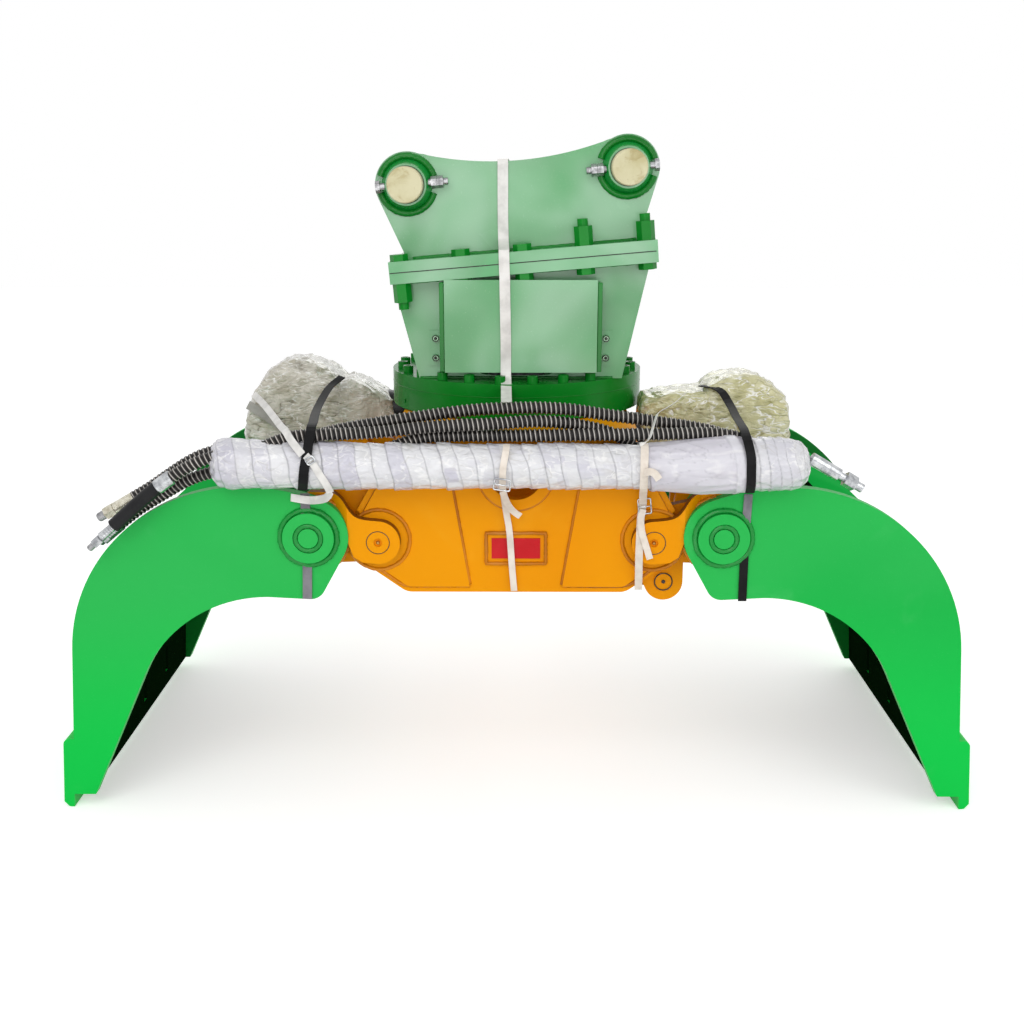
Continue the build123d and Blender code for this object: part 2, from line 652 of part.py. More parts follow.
def make_frame_plate(front):
    """Frame plate with its two doublers and, in front, the ring round the access hole."""
    bush_r = PIVOT_PIN_R + RUNNING + PIVOT_BUSH_WALL + PRESS
    bores = disc(bush_r, PIVOT_X, PIVOT_Z) + disc(bush_r, -PIVOT_X, PIVOT_Z)
    plate = slab(frame_outline() - bores - disc(ACCESS_HOLE_R, 0, ACCESS_Z), frame_in, frame_out)
    doubler = slab(overlay_outline() - bores, frame_out, overlay_out)
    collar = disc(ACCESS_RING_R, 0, ACCESS_Z) - disc(ACCESS_HOLE_R, 0, ACCESS_Z)
    collar &= outline((-ACCESS_RING_R, FRAME_BOTTOM_Z), (ACCESS_RING_R, FRAME_BOTTOM_Z),
                      (ACCESS_RING_R, FRAME_TOP_Z), (-ACCESS_RING_R, FRAME_TOP_Z))
    ring = slab(collar, frame_out, overlay_out)
    group = solids_of(plate, doubler, mirror(doubler, about=Plane.YZ), ring)
    return mirror(group, about=Plane.XZ) if front else group


def make_top_plate():
    """Plate under the slewing ring, notched where the barrels rise past it."""
    half = FRAME_TOP_HALF
    blank = Rectangle(2 * half, 2 * frame_out)
    blank = fillet(blank.vertices(), 40)
    blank -= Circle(SWIVEL_R + 1)
    notch_x = (NOTCH_START_X + half + 20) / 2
    notch = Rectangle(half + 20 - NOTCH_START_X, 2 * NOTCH_HALF_WIDTH)
    blank -= Pos(notch_x, -CYLINDER_Y) * notch
    blank -= Pos(-notch_x, CYLINDER_Y) * notch
    return level(blank, FRAME_TOP_Z, top_plate_top)


def make_frame_ribs():
    """Bottom tie plate and the ribs that brace the cylinder ears."""
    tie = level(Rectangle(2 * BOTTOM_PLATE_HALF, 2 * frame_in), FRAME_BOTTOM_Z, FRAME_BOTTOM_Z + BOTTOM_PLATE)
    ear_far = CYLINDER_Y + ear_near + EAR_PLATE
    rib = level(Rectangle(RIB_PLATE, frame_in - ear_far), RIB_BOTTOM_Z, FRAME_TOP_Z)
    middle = (frame_in + ear_far) / 2
    return solids_of(tie, place(-RIB_X, -middle, 0) * rib, place(RIB_X, middle, 0) * rib)


def make_cylinder_base():
    """Ears under the top plate with the two base pins."""
    ear = outline((-EAR_PLATE * 2, FRAME_TOP_Z), (RIB_X + RIB_PLATE / 2, FRAME_TOP_Z),
                  (BASE_EAR_R - 4, BASE_PIN_Z - 22), (0, BASE_PIN_Z), (-BASE_EAR_R + 8, BASE_PIN_Z + 10))
    ear += disc(BASE_EAR_R, 0, BASE_PIN_Z)
    ear -= disc(CYLINDER_PIN_R + PRESS, 0, BASE_PIN_Z)
    parts = []
    for side in (-1, 1):
        centre = -side * CYLINDER_Y
        face = ear if side < 0 else mirror(ear, about=Plane.YZ)
        for sign in (-1, 1):
            low, high = sorted((centre + sign * ear_near, centre + sign * (ear_near + EAR_PLATE)))
            parts.append(slab(face, low, high))
        reach = ear_near + EAR_PLATE + 3
        parts.append(pin_along_y(CYLINDER_PIN_R, 0, BASE_PIN_Z, centre - reach, centre + reach))
    return solids_of(*parts)


def make_pivot_bushes():
    ring = Circle(PIVOT_PIN_R + RUNNING + PIVOT_BUSH_WALL) - Circle(PIVOT_PIN_R + RUNNING)
    bush = slab(Pos(PIVOT_X, PIVOT_Z) * ring, frame_in, overlay_out)
    pair = front_and_rear(bush)
    return solids_of(pair, mirror(pair, about=Plane.YZ))


def make_name_plate():
    """Bare plate in its welded surround."""
    surround = Rectangle(NAME_FRAME_W, NAME_FRAME_H) - Rectangle(NAME_FRAME_W - 8, NAME_FRAME_H - 8)
    surround = slab(Pos(0, NAME_PLATE_Z) * surround, -frame_out - NAME_PLATE_T, -frame_out)
    plate = slab(Pos(0, NAME_PLATE_Z) * Rectangle(NAME_PLATE_W, NAME_PLATE_H), -frame_out - NAME_PLATE_T, -frame_out)
    return solids_of(surround, plate)


def gear_teeth(count, pitch_r, outward):
    """One trapezoid tooth for each pitch, pointing out of or into the wheel."""
    flank = tan(radians(FLANK_ANGLE))
    tip = pitch_r + outward * TOOTH_TIP
    root = pitch_r - outward * (TOOTH_ROOT + 2)
    tip_half = TOOTH_HALF - TOOTH_TIP * flank
    root_half = TOOTH_HALF + TOOTH_ROOT * flank
    return outline((root, -root_half), (tip, -tip_half), (tip, tip_half), (root, root_half)), 360 / count


def make_inner_ring():
    """Fixed race with the internal gear that the pinion climbs round."""
    tooth, pitch = gear_teeth(GEAR_TEETH, gear_pitch_r, -1)
    ring = Circle(RACE_R - RACE_GAP) - Circle(gear_pitch_r + TOOTH_ROOT)
    teeth = [Rot(0, 0, -90 + pitch / 2 + pitch * step) * tooth for step in range(GEAR_TEETH)]
    ring += teeth
    return level(ring, top_plate_top, inner_ring_top)


def make_pinion():
    tooth, pitch = gear_teeth(PINION_TEETH, pinion_pitch_r, 1)
    wheel = Circle(pinion_pitch_r - TOOTH_ROOT)
    teeth = [Rot(0, 0, -90 + pitch * step) * tooth for step in range(PINION_TEETH)]
    wheel += teeth
    wheel = level(wheel, top_plate_top + RING_DROP, inner_ring_top)
    shaft = level(Circle(MOTOR_SHAFT_R), inner_ring_top, base_top + 30)
    return place(0, pinion_y, 0) * (wheel + shaft)


def make_outer_ring():
    ring = level(Circle(RING_R) - Circle(RACE_R), outer_ring_low, base_low)
    port = Rot(0, 90, 0) * Cylinder(GREASE_PORT_R, 30)
    return ring - Rot(0, 0, 210) * place(RING_R, 0, base_low - 33) * port


def hex_bar(across_flats, height):
    radius = across_flats / 2 / cos(radians(30))
    return extrude(RegularPolygon(radius, 6), height)


def make_inner_ring_bolts():
    """Hex bolts up through the top plate, left out where the notches are."""
    parts = []
    for step in range(12):
        angle = 15 + 30 * step
        if angle not in (135, 315):
            head = hex_bar(INNER_BOLT_AF, INNER_BOLT_HEAD)
            parts.append(Rot(0, 0, angle) * place(INNER_BOLT_CIRCLE_R, 0, FRAME_TOP_Z - INNER_BOLT_HEAD) * head)
    return solids_of(*parts)


def make_swivel_housing():
    tube = level(Circle(SWIVEL_R) - Circle(SWIVEL_CORE_R + RUNNING), SWIVEL_LOW_Z, base_low - 40)
    flange = level(Circle(SWIVEL_FLANGE_R) - Circle(SWIVEL_R - 1), FRAME_TOP_Z - 12, FRAME_TOP_Z)
    floor = level(Circle(SWIVEL_R), SWIVEL_LOW_Z - 10, SWIVEL_LOW_Z)
    return tube + flange + floor


def make_swivel_core():
    core = level(Circle(SWIVEL_CORE_R), SWIVEL_LOW_Z + 4, base_low - 30)
    block = level(Circle(SWIVEL_BLOCK_R), base_low - 30, SWIVEL_BLOCK_TOP)
    flange = level(Circle(SWIVEL_BLOCK_R + 30), base_top, base_top + 12)
    for angle in (0, 90, 180, 270):
        stub = place(SWIVEL_BLOCK_R - 4, 0, SWIVEL_BLOCK_TOP - 35) * Rot(0, 90, 0) * Cylinder(13, 34)
        block += Rot(0, 0, angle) * stub
    return core + block + flange


def make_motor():
    spigot = level(Circle(MOTOR_SPIGOT_R), base_top, base_top + MOTOR_STANDS)
    foot = level(RectangleRounded(2 * MOTOR_R + 6, 2 * MOTOR_R + 6, 20), base_top + MOTOR_STANDS, base_top + 22)
    body = level(Circle(MOTOR_R - 6), base_top + 22, base_top + MOTOR_HEIGHT - 40)
    cap = level(RectangleRounded(2 * MOTOR_R - 10, 2 * MOTOR_R - 20, 16),
                base_top + MOTOR_HEIGHT - 40, base_top + MOTOR_HEIGHT)
    motor = spigot + foot + body + cap - level(Circle(MOTOR_SHAFT_R + 1), base_top - 1, base_top + 31)
    return place(0, pinion_y, 0) * motor


def make_base_plate():
    blank = Circle(RING_R) - Circle(SWIVEL_BLOCK_R + 8) - Pos(0, pinion_y) * Circle(MOTOR_SHAFT_R + 6)
    return level(blank, base_low, base_top)


def make_ring_bolts():
    head = Cylinder(RING_BOLT_HEAD_R, RING_BOLT_HEAD, align=(Align.CENTER, Align.CENTER, Align.MIN))
    head -= Pos(0, 0, RING_BOLT_HEAD - 8) * hex_bar(14, 9)
    pitch = 360 / RING_BOLTS
    heads = [Rot(0, 0, pitch * (step + 0.5)) * place(RING_BOLT_CIRCLE_R, 0, base_top) * head
             for step in range(RING_BOLTS)]
    return solids_of(*heads)


def flange_bolt_steps():
    return [(step, sign) for step in (-2, -1, 0, 1, 2) for sign in (-1, 1)]


def make_flange(upper):
    plate = Box(FLANGE_LENGTH, FLANGE_WIDTH, FLANGE_PLATE)
    for step, sign in flange_bolt_steps():
        hole = Cylinder(FLANGE_BOLT_R + 0.5, FLANGE_PLATE * 2)
        plate -= Pos(step * FLANGE_BOLT_PITCH, sign * FLANGE_BOLT_Y, 0) * hole
    shift = FLANGE_PLATE / 2 if upper else -FLANGE_PLATE / 2
    return tilted(Pos(0, 0, shift) * plate)


def make_flange_bolts():
    """Bolts through the joint: heads up on the left, double nuts up on the right."""
    parts = []
    for step, sign in flange_bolt_steps():
        upright = -1 if step > 0 else 1
        shank = Cylinder(FLANGE_BOLT_R, 2 * FLANGE_PLATE + 2 * FLANGE_NUT + 16)
        shank = Pos(0, 0, -FLANGE_NUT - 8) * shank
        head = Pos(0, 0, FLANGE_PLATE) * hex_bar(FLANGE_BOLT_AF, FLANGE_HEAD)
        nuts = Pos(0, 0, -FLANGE_PLATE - FLANGE_NUT) * hex_bar(FLANGE_BOLT_AF, FLANGE_NUT)
        lock = Pos(0, 0, -FLANGE_PLATE - 2 * FLANGE_NUT) * Rot(0, 0, 60) * hex_bar(FLANGE_BOLT_AF, FLANGE_NUT)
        bolt = shank + head + nuts + lock
        bolt = Rot(90 - 90 * upright, 0, 0) * bolt
        parts.append(Pos(step * FLANGE_BOLT_PITCH, sign * FLANGE_BOLT_Y, 0) * bolt)
    return tilted(solids_of(*parts))


def make_lower_bracket():
    """Two side plates and two webs between the base plate and the lower flange."""
    under = -FLANGE_PLATE
    blank = outline(
        (-BRACKET_FOOT_LEFT, base_top), (BRACKET_FOOT_RIGHT, base_top),
        (BRACKET_TOP_RIGHT, flange_z(BRACKET_TOP_RIGHT, under)),
        (-BRACKET_TOP_LEFT, flange_z(-BRACKET_TOP_LEFT, under)),
    )
    rear = slab(blank, bracket_in, BRACKET_OUTER_Y)
    window = Pos(0, base_top + 8 + WINDOW_HEIGHT / 2) * RectangleRounded(2 * WINDOW_HALF, WINDOW_HEIGHT, 25)
    front = slab(blank - window, -BRACKET_OUTER_Y, -bracket_in)
    parts = [rear, front]
    for x in (-BRACKET_WEB_X, BRACKET_WEB_X):
        web = Box(WEB_PLATE, 2 * bracket_in, flange_z(x, under) - base_top - 1,
                  align=(Align.CENTER, Align.CENTER, Align.MIN))
        web -= Pos(0, 0, 110) * Rot(0, 90, 0) * Cylinder(70, 4 * WEB_PLATE)
        parts.append(place(x, 0, base_top) * web)
    return solids_of(*parts)


def ear_outline():
    """Side outline of an upper ear: two pin ends, a saddle between them, sides leaning in."""
    left = (STICK_PIN_X, STICK_PIN_Z)
    right = (link_pin_x, link_pin_z)
    left_top = (left[0] + EAR_R * cos(radians(70)), left[1] + EAR_R * sin(radians(70)))
    right_top = (right[0] + EAR_R * cos(radians(120)), right[1] + EAR_R * sin(radians(120)))
    lean = radians(180 + EAR_LEAN_LEFT)
    left_side = (left[0] + EAR_R * cos(lean), left[1] + EAR_R * sin(lean))
    left_run = (left_side[1] - flange_z(left_side[0], FLANGE_PLATE)) * tan(radians(EAR_LEAN_LEFT))
    left_foot = (left_side[0] + left_run, flange_z(left_side[0] + left_run, FLANGE_PLATE))
    lean = radians(-EAR_LEAN_RIGHT)
    right_side = (right[0] + EAR_R * cos(lean), right[1] + EAR_R * sin(lean))
    right_run = (right_side[1] - flange_z(right_side[0], FLANGE_PLATE)) * tan(radians(EAR_LEAN_RIGHT))
    right_foot = (right_side[0] - right_run, flange_z(right_side[0] - right_run, FLANGE_PLATE))
    edges = [
        ThreePointArc(left_top, (EAR_SADDLE_X, EAR_SADDLE_Z), right_top),
        Polyline(right_top, right, right_side, right_foot, left_foot, left_side, left, left_top),
    ]
    return make_face(edges) + disc(EAR_R, *left) + disc(EAR_R, *right)


def pin_centres():
    return (STICK_PIN_X, STICK_PIN_Z), (link_pin_x, link_pin_z)


def make_upper_bracket():
    """Two ears and the web between them."""
    blank = ear_outline()
    for centre in pin_centres():
        blank -= disc(PIN_R + 0.2, *centre)
    ears = front_and_rear(slab(blank, ear_in, ear_out))
    foot = flange_z(0, FLANGE_PLATE) + 1
    web = place(0, 0, foot) * Box(BRACKET_PLATE, EAR_GAP, EAR_WEB_HEIGHT, align=(Align.CENTER, Align.CENTER, Align.MIN))
    return solids_of(ears, web)


def make_pin_bosses():
    parts = []
    for x, z in pin_centres():
        cone = Cone(BOSS_ROOT_R, BOSS_FACE_R, BOSS_PROUD, align=(Align.CENTER, Align.CENTER, Align.MIN))
        boss = place(x, -ear_out, z) * Rot(90, 0, 0) * (cone - Cylinder(PIN_R + 0.2, 3 * BOSS_PROUD))
        parts.append(boss - retainer_hole(x, z))
        parts.append(mirror(boss, about=Plane.XZ))
    return solids_of(*parts)


def retainer_hole(x, z):
    middle = -(ear_out + boss_out) / 2
    return place(x, middle, z) * Rot(0, 90 - FLANGE_TILT, 0) * Cylinder(RETAINER_R + 0.5, 4 * EAR_R)


def make_hitch_pin(x, z):
    pin = pin_along_y(PIN_R, x, z, -PIN_LENGTH / 2, PIN_LENGTH / 2)
    pin = chamfer(pin.edges().filter_by(GeomType.CIRCLE), 2)
    return pin - retainer_hole(x, z)


def make_retainers():
    """Long bolts across each pin with a head outside and two nuts inside."""
    parts = []
    middle = -(ear_out + boss_out) / 2
    for (x, z), inward in zip(pin_centres(), (1, -1)):
        bolt = round_bar(RETAINER_R, -BOSS_ROOT_R - 4, BOSS_ROOT_R + 2 * RETAINER_NUT + 10)
        head = Pos(-BOSS_ROOT_R - 12, 0, 0) * Rot(0, 90, 0) * hex_bar(RETAINER_AF, 10)
        nuts = Pos(BOSS_ROOT_R - 2, 0, 0) * Rot(0, 90, 0) * hex_bar(RETAINER_AF, RETAINER_NUT)
        lock = Pos(BOSS_ROOT_R - 1 + RETAINER_NUT, 0, 0) * Rot(0, 90, 0) * hex_bar(RETAINER_AF, RETAINER_NUT)
        whole = bolt + head + nuts + lock
        if inward < 0:
            whole = Rot(0, 0, 180) * whole
        parts.append(place(x, middle, z) * Rot(0, -FLANGE_TILT, 0) * whole)
    return solids_of(*parts)


def make_cover():
    """Folded sheet with flared returns and a screw lug at each side."""
    face = COVER_FACE_Y
    back = BRACKET_OUTER_Y
    sheet = COVER_SHEET
    left = COVER_LEFT
    right = COVER_RIGHT
    flare = COVER_FLARE
    front = slab(outline((-left, COVER_LOW_Z), (right, COVER_LOW_Z), (right, COVER_TOP_Z), (-left, COVER_TOP_Z)),
                 -face, -face + sheet)
    returns = outline((-left, -face + sheet), (-left + sheet, -face + sheet),
                      (-left - flare + sheet, -back), (-left - flare, -back))
    returns += outline((right, -face + sheet), (right - sheet, -face + sheet),
                       (right + flare - sheet, -back), (right + flare, -back))
    cover = front + level(returns, COVER_LOW_Z, COVER_TOP_Z - COVER_RETURN_DROP)
    low = COVER_LUG_LOW_Z
    high = low + COVER_LUG_HEIGHT
    for x, away in ((-left - flare, -1), (right + flare, 1)):
        tab = Rectangle(COVER_LUG + sheet, sheet)
        tab = Pos(x + away * (COVER_LUG - sheet) / 2, -back - sheet / 2) * tab
        cover += level(tab, low, high)
    return cover


def make_cover_screws():
    parts = []
    x_left = -COVER_LEFT - COVER_FLARE - COVER_LUG / 2
    x_right = COVER_RIGHT + COVER_FLARE + COVER_LUG / 2
    middle = COVER_LUG_LOW_Z + COVER_LUG_HEIGHT / 2
    face = BRACKET_OUTER_Y + COVER_SHEET
    for x in (x_left, x_right):
        for shift in (-0.5, 0.5):
            z = middle + shift * COVER_SCREW_PITCH
            parts.append(pin_along_y(COVER_SCREW_R, x, z, -face - 7, -face))
    return solids_of(*parts)


roll_y = -(overlay_out + TOUCH + ROLL_R)
roll_z = CROWN_TOP_Z + TOUCH + ROLL_R


def make_hose_roll():
    """Hoses wound into one bundle and wrapped in film, lying on the jaws in front of the frame."""
    roll = Cylinder(ROLL_R, ROLL_LEFT + ROLL_RIGHT)
    roll = fillet(roll.edges().filter_by(GeomType.CIRCLE), ROLL_EDGE_R)
    return place((ROLL_RIGHT - ROLL_LEFT) / 2, roll_y, roll_z) * Rot(0, 90, 0) * roll


def hose(name, points):
    """Tube of straight runs and tangent arcs through hand-chosen points; prints its radii."""
    runs = [(Vector(*b) - Vector(*a)).length for a, b in zip(points, points[1:])]
    radii = []
    for index in range(1, len(points) - 1):
        before = Vector(*points[index]) - Vector(*points[index - 1])
        after = Vector(*points[index + 1]) - Vector(*points[index])
        turn = radians(before.get_angle(after))
        radii.append(0.45 * min(runs[index - 1], runs[index]) / tan(turn / 2))
    path = FilletPolyline(*points, radius=radii)
    start = Plane(origin=path @ 0, z_dir=path % 0)
    tube = sweep(start * Circle(HOSE_R), path=path)
    print(name, "length", round(path.length), "radii", [round(r) for r in radii],
          "volume share", round(tube.volume / (path.length * 3.14159265 * HOSE_R ** 2), 3))
    return tube


ARC_UPPER = [(-505, -454, 850), (-456, -444, 875), (-400, -438, 892), (-329, -436, 905), (-251, -436, 917),
             (-173, -436, 928), (-95, -436, 938), (-18, -436, 942), (60, -436, 943), (125, -436, 939),
             (190, -436, 928), (255, -436, 920), (320, -436, 910), (385, -437, 901), (436, -440, 891),
             (474, -443, 876), (505, -446, 856)]
ARC_MIDDLE = [(-572, -488, 850), (-525, -484, 876), (-475, -479, 889), (-420, -475, 890.5), (-350, -471, 892),
             (-280, -468, 896), (-205, -468, 906), (-120, -467, 910.5), (-40, -463, 912.5), (30, -456, 917.5),
             (95, -445, 913.5), (150, -439, 903), (198, -437, 892), (238, -441, 874), (264, -450, 854)]
ARC_LOWER = [(-302, -463, 846), (-252, -454, 867), (-200, -450, 881.5), (-130, -450, 884), (-40, -453, 884.5),
             (30, -457, 885.5), (100, -464, 888), (175, -467, 890), (250, -469, 891), (330, -471, 892.5),
             (405, -473, 895), (462, -476, 891), (502, -480, 878), (532, -483, 860)]
TAIL_UPPER = [(-628, -499, 853), (-665, -500, 843), (-706, -500, 824), (-756, -500, 793), (-812, -500, 749),
             (-874, -500, 693)]
TAIL_LOWER = [(-628, -464, 812), (-680, -459, 800), (-728, -452, 780), (-770, -444, 754), (-808, -441.5, 732),
             (-845, -441.5, 708.5), (-880, -441.5, 680)]
TAIL_BACK = [(-628, -463, 858), (-672, -462, 848), (-715, -461, 827), (-760, -460, 797), (-800, -459, 769),
             (-838, -458, 747)]


def make_fitting(start, toward, length):
    """Crimped sleeve, hexagon and short threaded nose on the end of a hose."""
    axis = Vector(*toward).normalized()
    frame = Plane(origin=Vector(*start), z_dir=axis)
    sleeve = Pos(0, 0, length * 0.27) * Cylinder(FITTING_R, length * 0.54)
    neck = Pos(0, 0, length * 0.6) * Cylinder(FITTING_R * 0.62, length * 0.14)
    nut = Pos(0, 0, length * 0.66) * hex_bar(FITTING_R * 2.1, length * 0.2)
    nose = Pos(0, 0, length * 0.93) * Cylinder(FITTING_R * 0.72, length * 0.14)
    return frame * (sleeve + neck + nut + nose)


def end_direction(points):
    return tuple(b - a for a, b in zip(points[-2], points[-1]))


def make_tail_fittings():
    parts = [make_fitting(points[-1], end_direction(points), length)
             for points, length in ((TAIL_UPPER, UPPER_FITTING), (TAIL_LOWER, LOWER_FITTING),
                                    (TAIL_BACK, BACK_FITTING))]
    return solids_of(*parts)


def make_roll_fitting():
    return make_fitting((ROLL_RIGHT, roll_y, roll_z + 18), (0.86, 0, -0.5), ROLL_FITTING)


def make_jaw(name, side):
    return {
        f"{name}_tine_plates": make_tine_plates(side),
        f"{name}_root_plates": solids_of(make_outer_roots(side), make_inner_roots(side)),
        f"{name}_cross_tube": make_cross_tube(side),
        f"{name}_skin_plate": make_skin(side),
        f"{name}_cutting_lip": make_lip(side),
        f"{name}_horn_plates": make_horns(side),
        f"{name}_pivot_pins": make_pivot_pins(side),
        f"{name}_cylinder_barrel": make_barrel(side),
        f"{name}_cylinder_gland": make_gland(side),
        f"{name}_cylinder_rod": make_rod(side),
        f"sync_pin_{name}": make_sync_pin(side),
    }


def make_head():
    return {
        "upper_bracket": make_upper_bracket(),
        "pin_bosses": make_pin_bosses(),
        "stick_pin": make_hitch_pin(STICK_PIN_X, STICK_PIN_Z),
        "link_pin": make_hitch_pin(link_pin_x, link_pin_z),
        "pin_retainers": make_retainers(),
        "upper_flange": make_flange(True),
        "lower_flange": make_flange(False),
        "flange_bolts": make_flange_bolts(),
        "lower_bracket": make_lower_bracket(),
        "base_plate": make_base_plate(),
        "ring_bolts": make_ring_bolts(),
        "slew_outer_ring": make_outer_ring(),
        "slew_motor": make_motor(),
        "swivel_core": make_swivel_core(),
        "motor_cover": make_cover(),
        "cover_screws": make_cover_screws(),
        "slew_pinion": make_pinion(),
    }


def make_frame():
    return {
        "frame_front_plate": make_frame_plate(True),
        "frame_rear_plate": make_frame_plate(False),
        "frame_top_plate": make_top_plate(),
        "frame_ribs": make_frame_ribs(),
        "cylinder_base": make_cylinder_base(),
        "pivot_bushes": make_pivot_bushes(),
        "name_plate": make_name_plate(),
        "slew_inner_ring": make_inner_ring(),
        "inner_ring_bolts": make_inner_ring_bolts(),
        "swivel_housing": make_swivel_housing(),
        "sync_link": make_sync_link(),
    }


def make_hoses():
    return {
        "hose_roll": make_hose_roll(),
        "hose_arc_upper": hose("hose_arc_upper", ARC_UPPER),
        "hose_arc_middle": hose("hose_arc_middle", ARC_MIDDLE),
        "hose_arc_lower": hose("hose_arc_lower", ARC_LOWER),
        "hose_tail_upper": hose("hose_tail_upper", TAIL_UPPER),
        "hose_tail_lower": hose("hose_tail_lower", TAIL_LOWER),
        "hose_tail_back": hose("hose_tail_back", TAIL_BACK),
        "tail_fittings": make_tail_fittings(),
        "roll_fitting": make_roll_fitting(),
    }


nodes = {}
nodes.update(make_frame())
nodes.update(make_head())
nodes.update(make_jaw("left", -1))
nodes.update(make_jaw("right", 1))
nodes.update(make_hoses())

os.makedirs("parts", exist_ok=True)
for name, part in nodes.items():
    export_step(part, os.path.join("parts", name + ".step"))
print(len(nodes), "nodes; rod stroke", round(rod_stroke, 2), "reach", round(rod_reach, 2),
      "swing", round(degrees(atan2(closed_eye[1] - BASE_PIN_Z, closed_eye[0])) - rod_angle, 3))
print("lugs", low_lug, high_lug, "link pin", link_pin_x, link_pin_z)
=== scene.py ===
import math

import bmesh
import bpy
from mathutils import Matrix, Vector, noise


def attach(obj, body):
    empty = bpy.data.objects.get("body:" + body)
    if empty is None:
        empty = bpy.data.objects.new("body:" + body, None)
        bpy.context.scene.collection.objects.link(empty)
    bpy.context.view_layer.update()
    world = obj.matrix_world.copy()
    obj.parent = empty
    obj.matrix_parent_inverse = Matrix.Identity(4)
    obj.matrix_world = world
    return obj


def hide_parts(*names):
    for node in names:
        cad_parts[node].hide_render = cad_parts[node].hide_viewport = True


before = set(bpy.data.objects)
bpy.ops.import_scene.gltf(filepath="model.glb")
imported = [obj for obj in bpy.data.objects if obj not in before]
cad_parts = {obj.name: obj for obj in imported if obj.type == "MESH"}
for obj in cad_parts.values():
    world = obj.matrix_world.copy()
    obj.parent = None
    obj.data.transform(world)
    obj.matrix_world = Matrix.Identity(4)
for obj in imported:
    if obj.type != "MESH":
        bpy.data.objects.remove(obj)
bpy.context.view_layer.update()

scene = bpy.context.scene

# Places on the CAD pieces, in metres. Front is toward -y, and each jaw mirrors the other in x.
SIDES = (("left", -1), ("right", 1))
FACES = (("front", -1), ("rear", 1))
JAW_PIVOT = (0.306, 0.642)
CROSS_TUBE = (0.458, 0.656)
LOW_LUG = (0.336, -0.3925, 0.534)
HITCH_PINS = {"left": (-0.248, 1.410), "right": (0.25055, 1.448)}
EAR_FACE = 0.1862
PIN_FACE = 0.2222
BRACKET_FACE = 0.2065
BASE_TOP = 0.973
FRAME_FACE = 0.4205
RING_RADIUS = 0.3058
HOSE_R = 0.014

# Camera at the photograph's angle

camera = bpy.data.objects.new("camera", bpy.data.cameras.new("camera"))
scene.collection.objects.link(camera)
camera.data.lens = 45.35
camera.data.sensor_width = 36
camera.location = (0.010, -3.200, 1.431)
camera.rotation_euler = (math.radians(90 - 14.64), 0, math.radians(0.387))
scene.camera = camera


# Materials

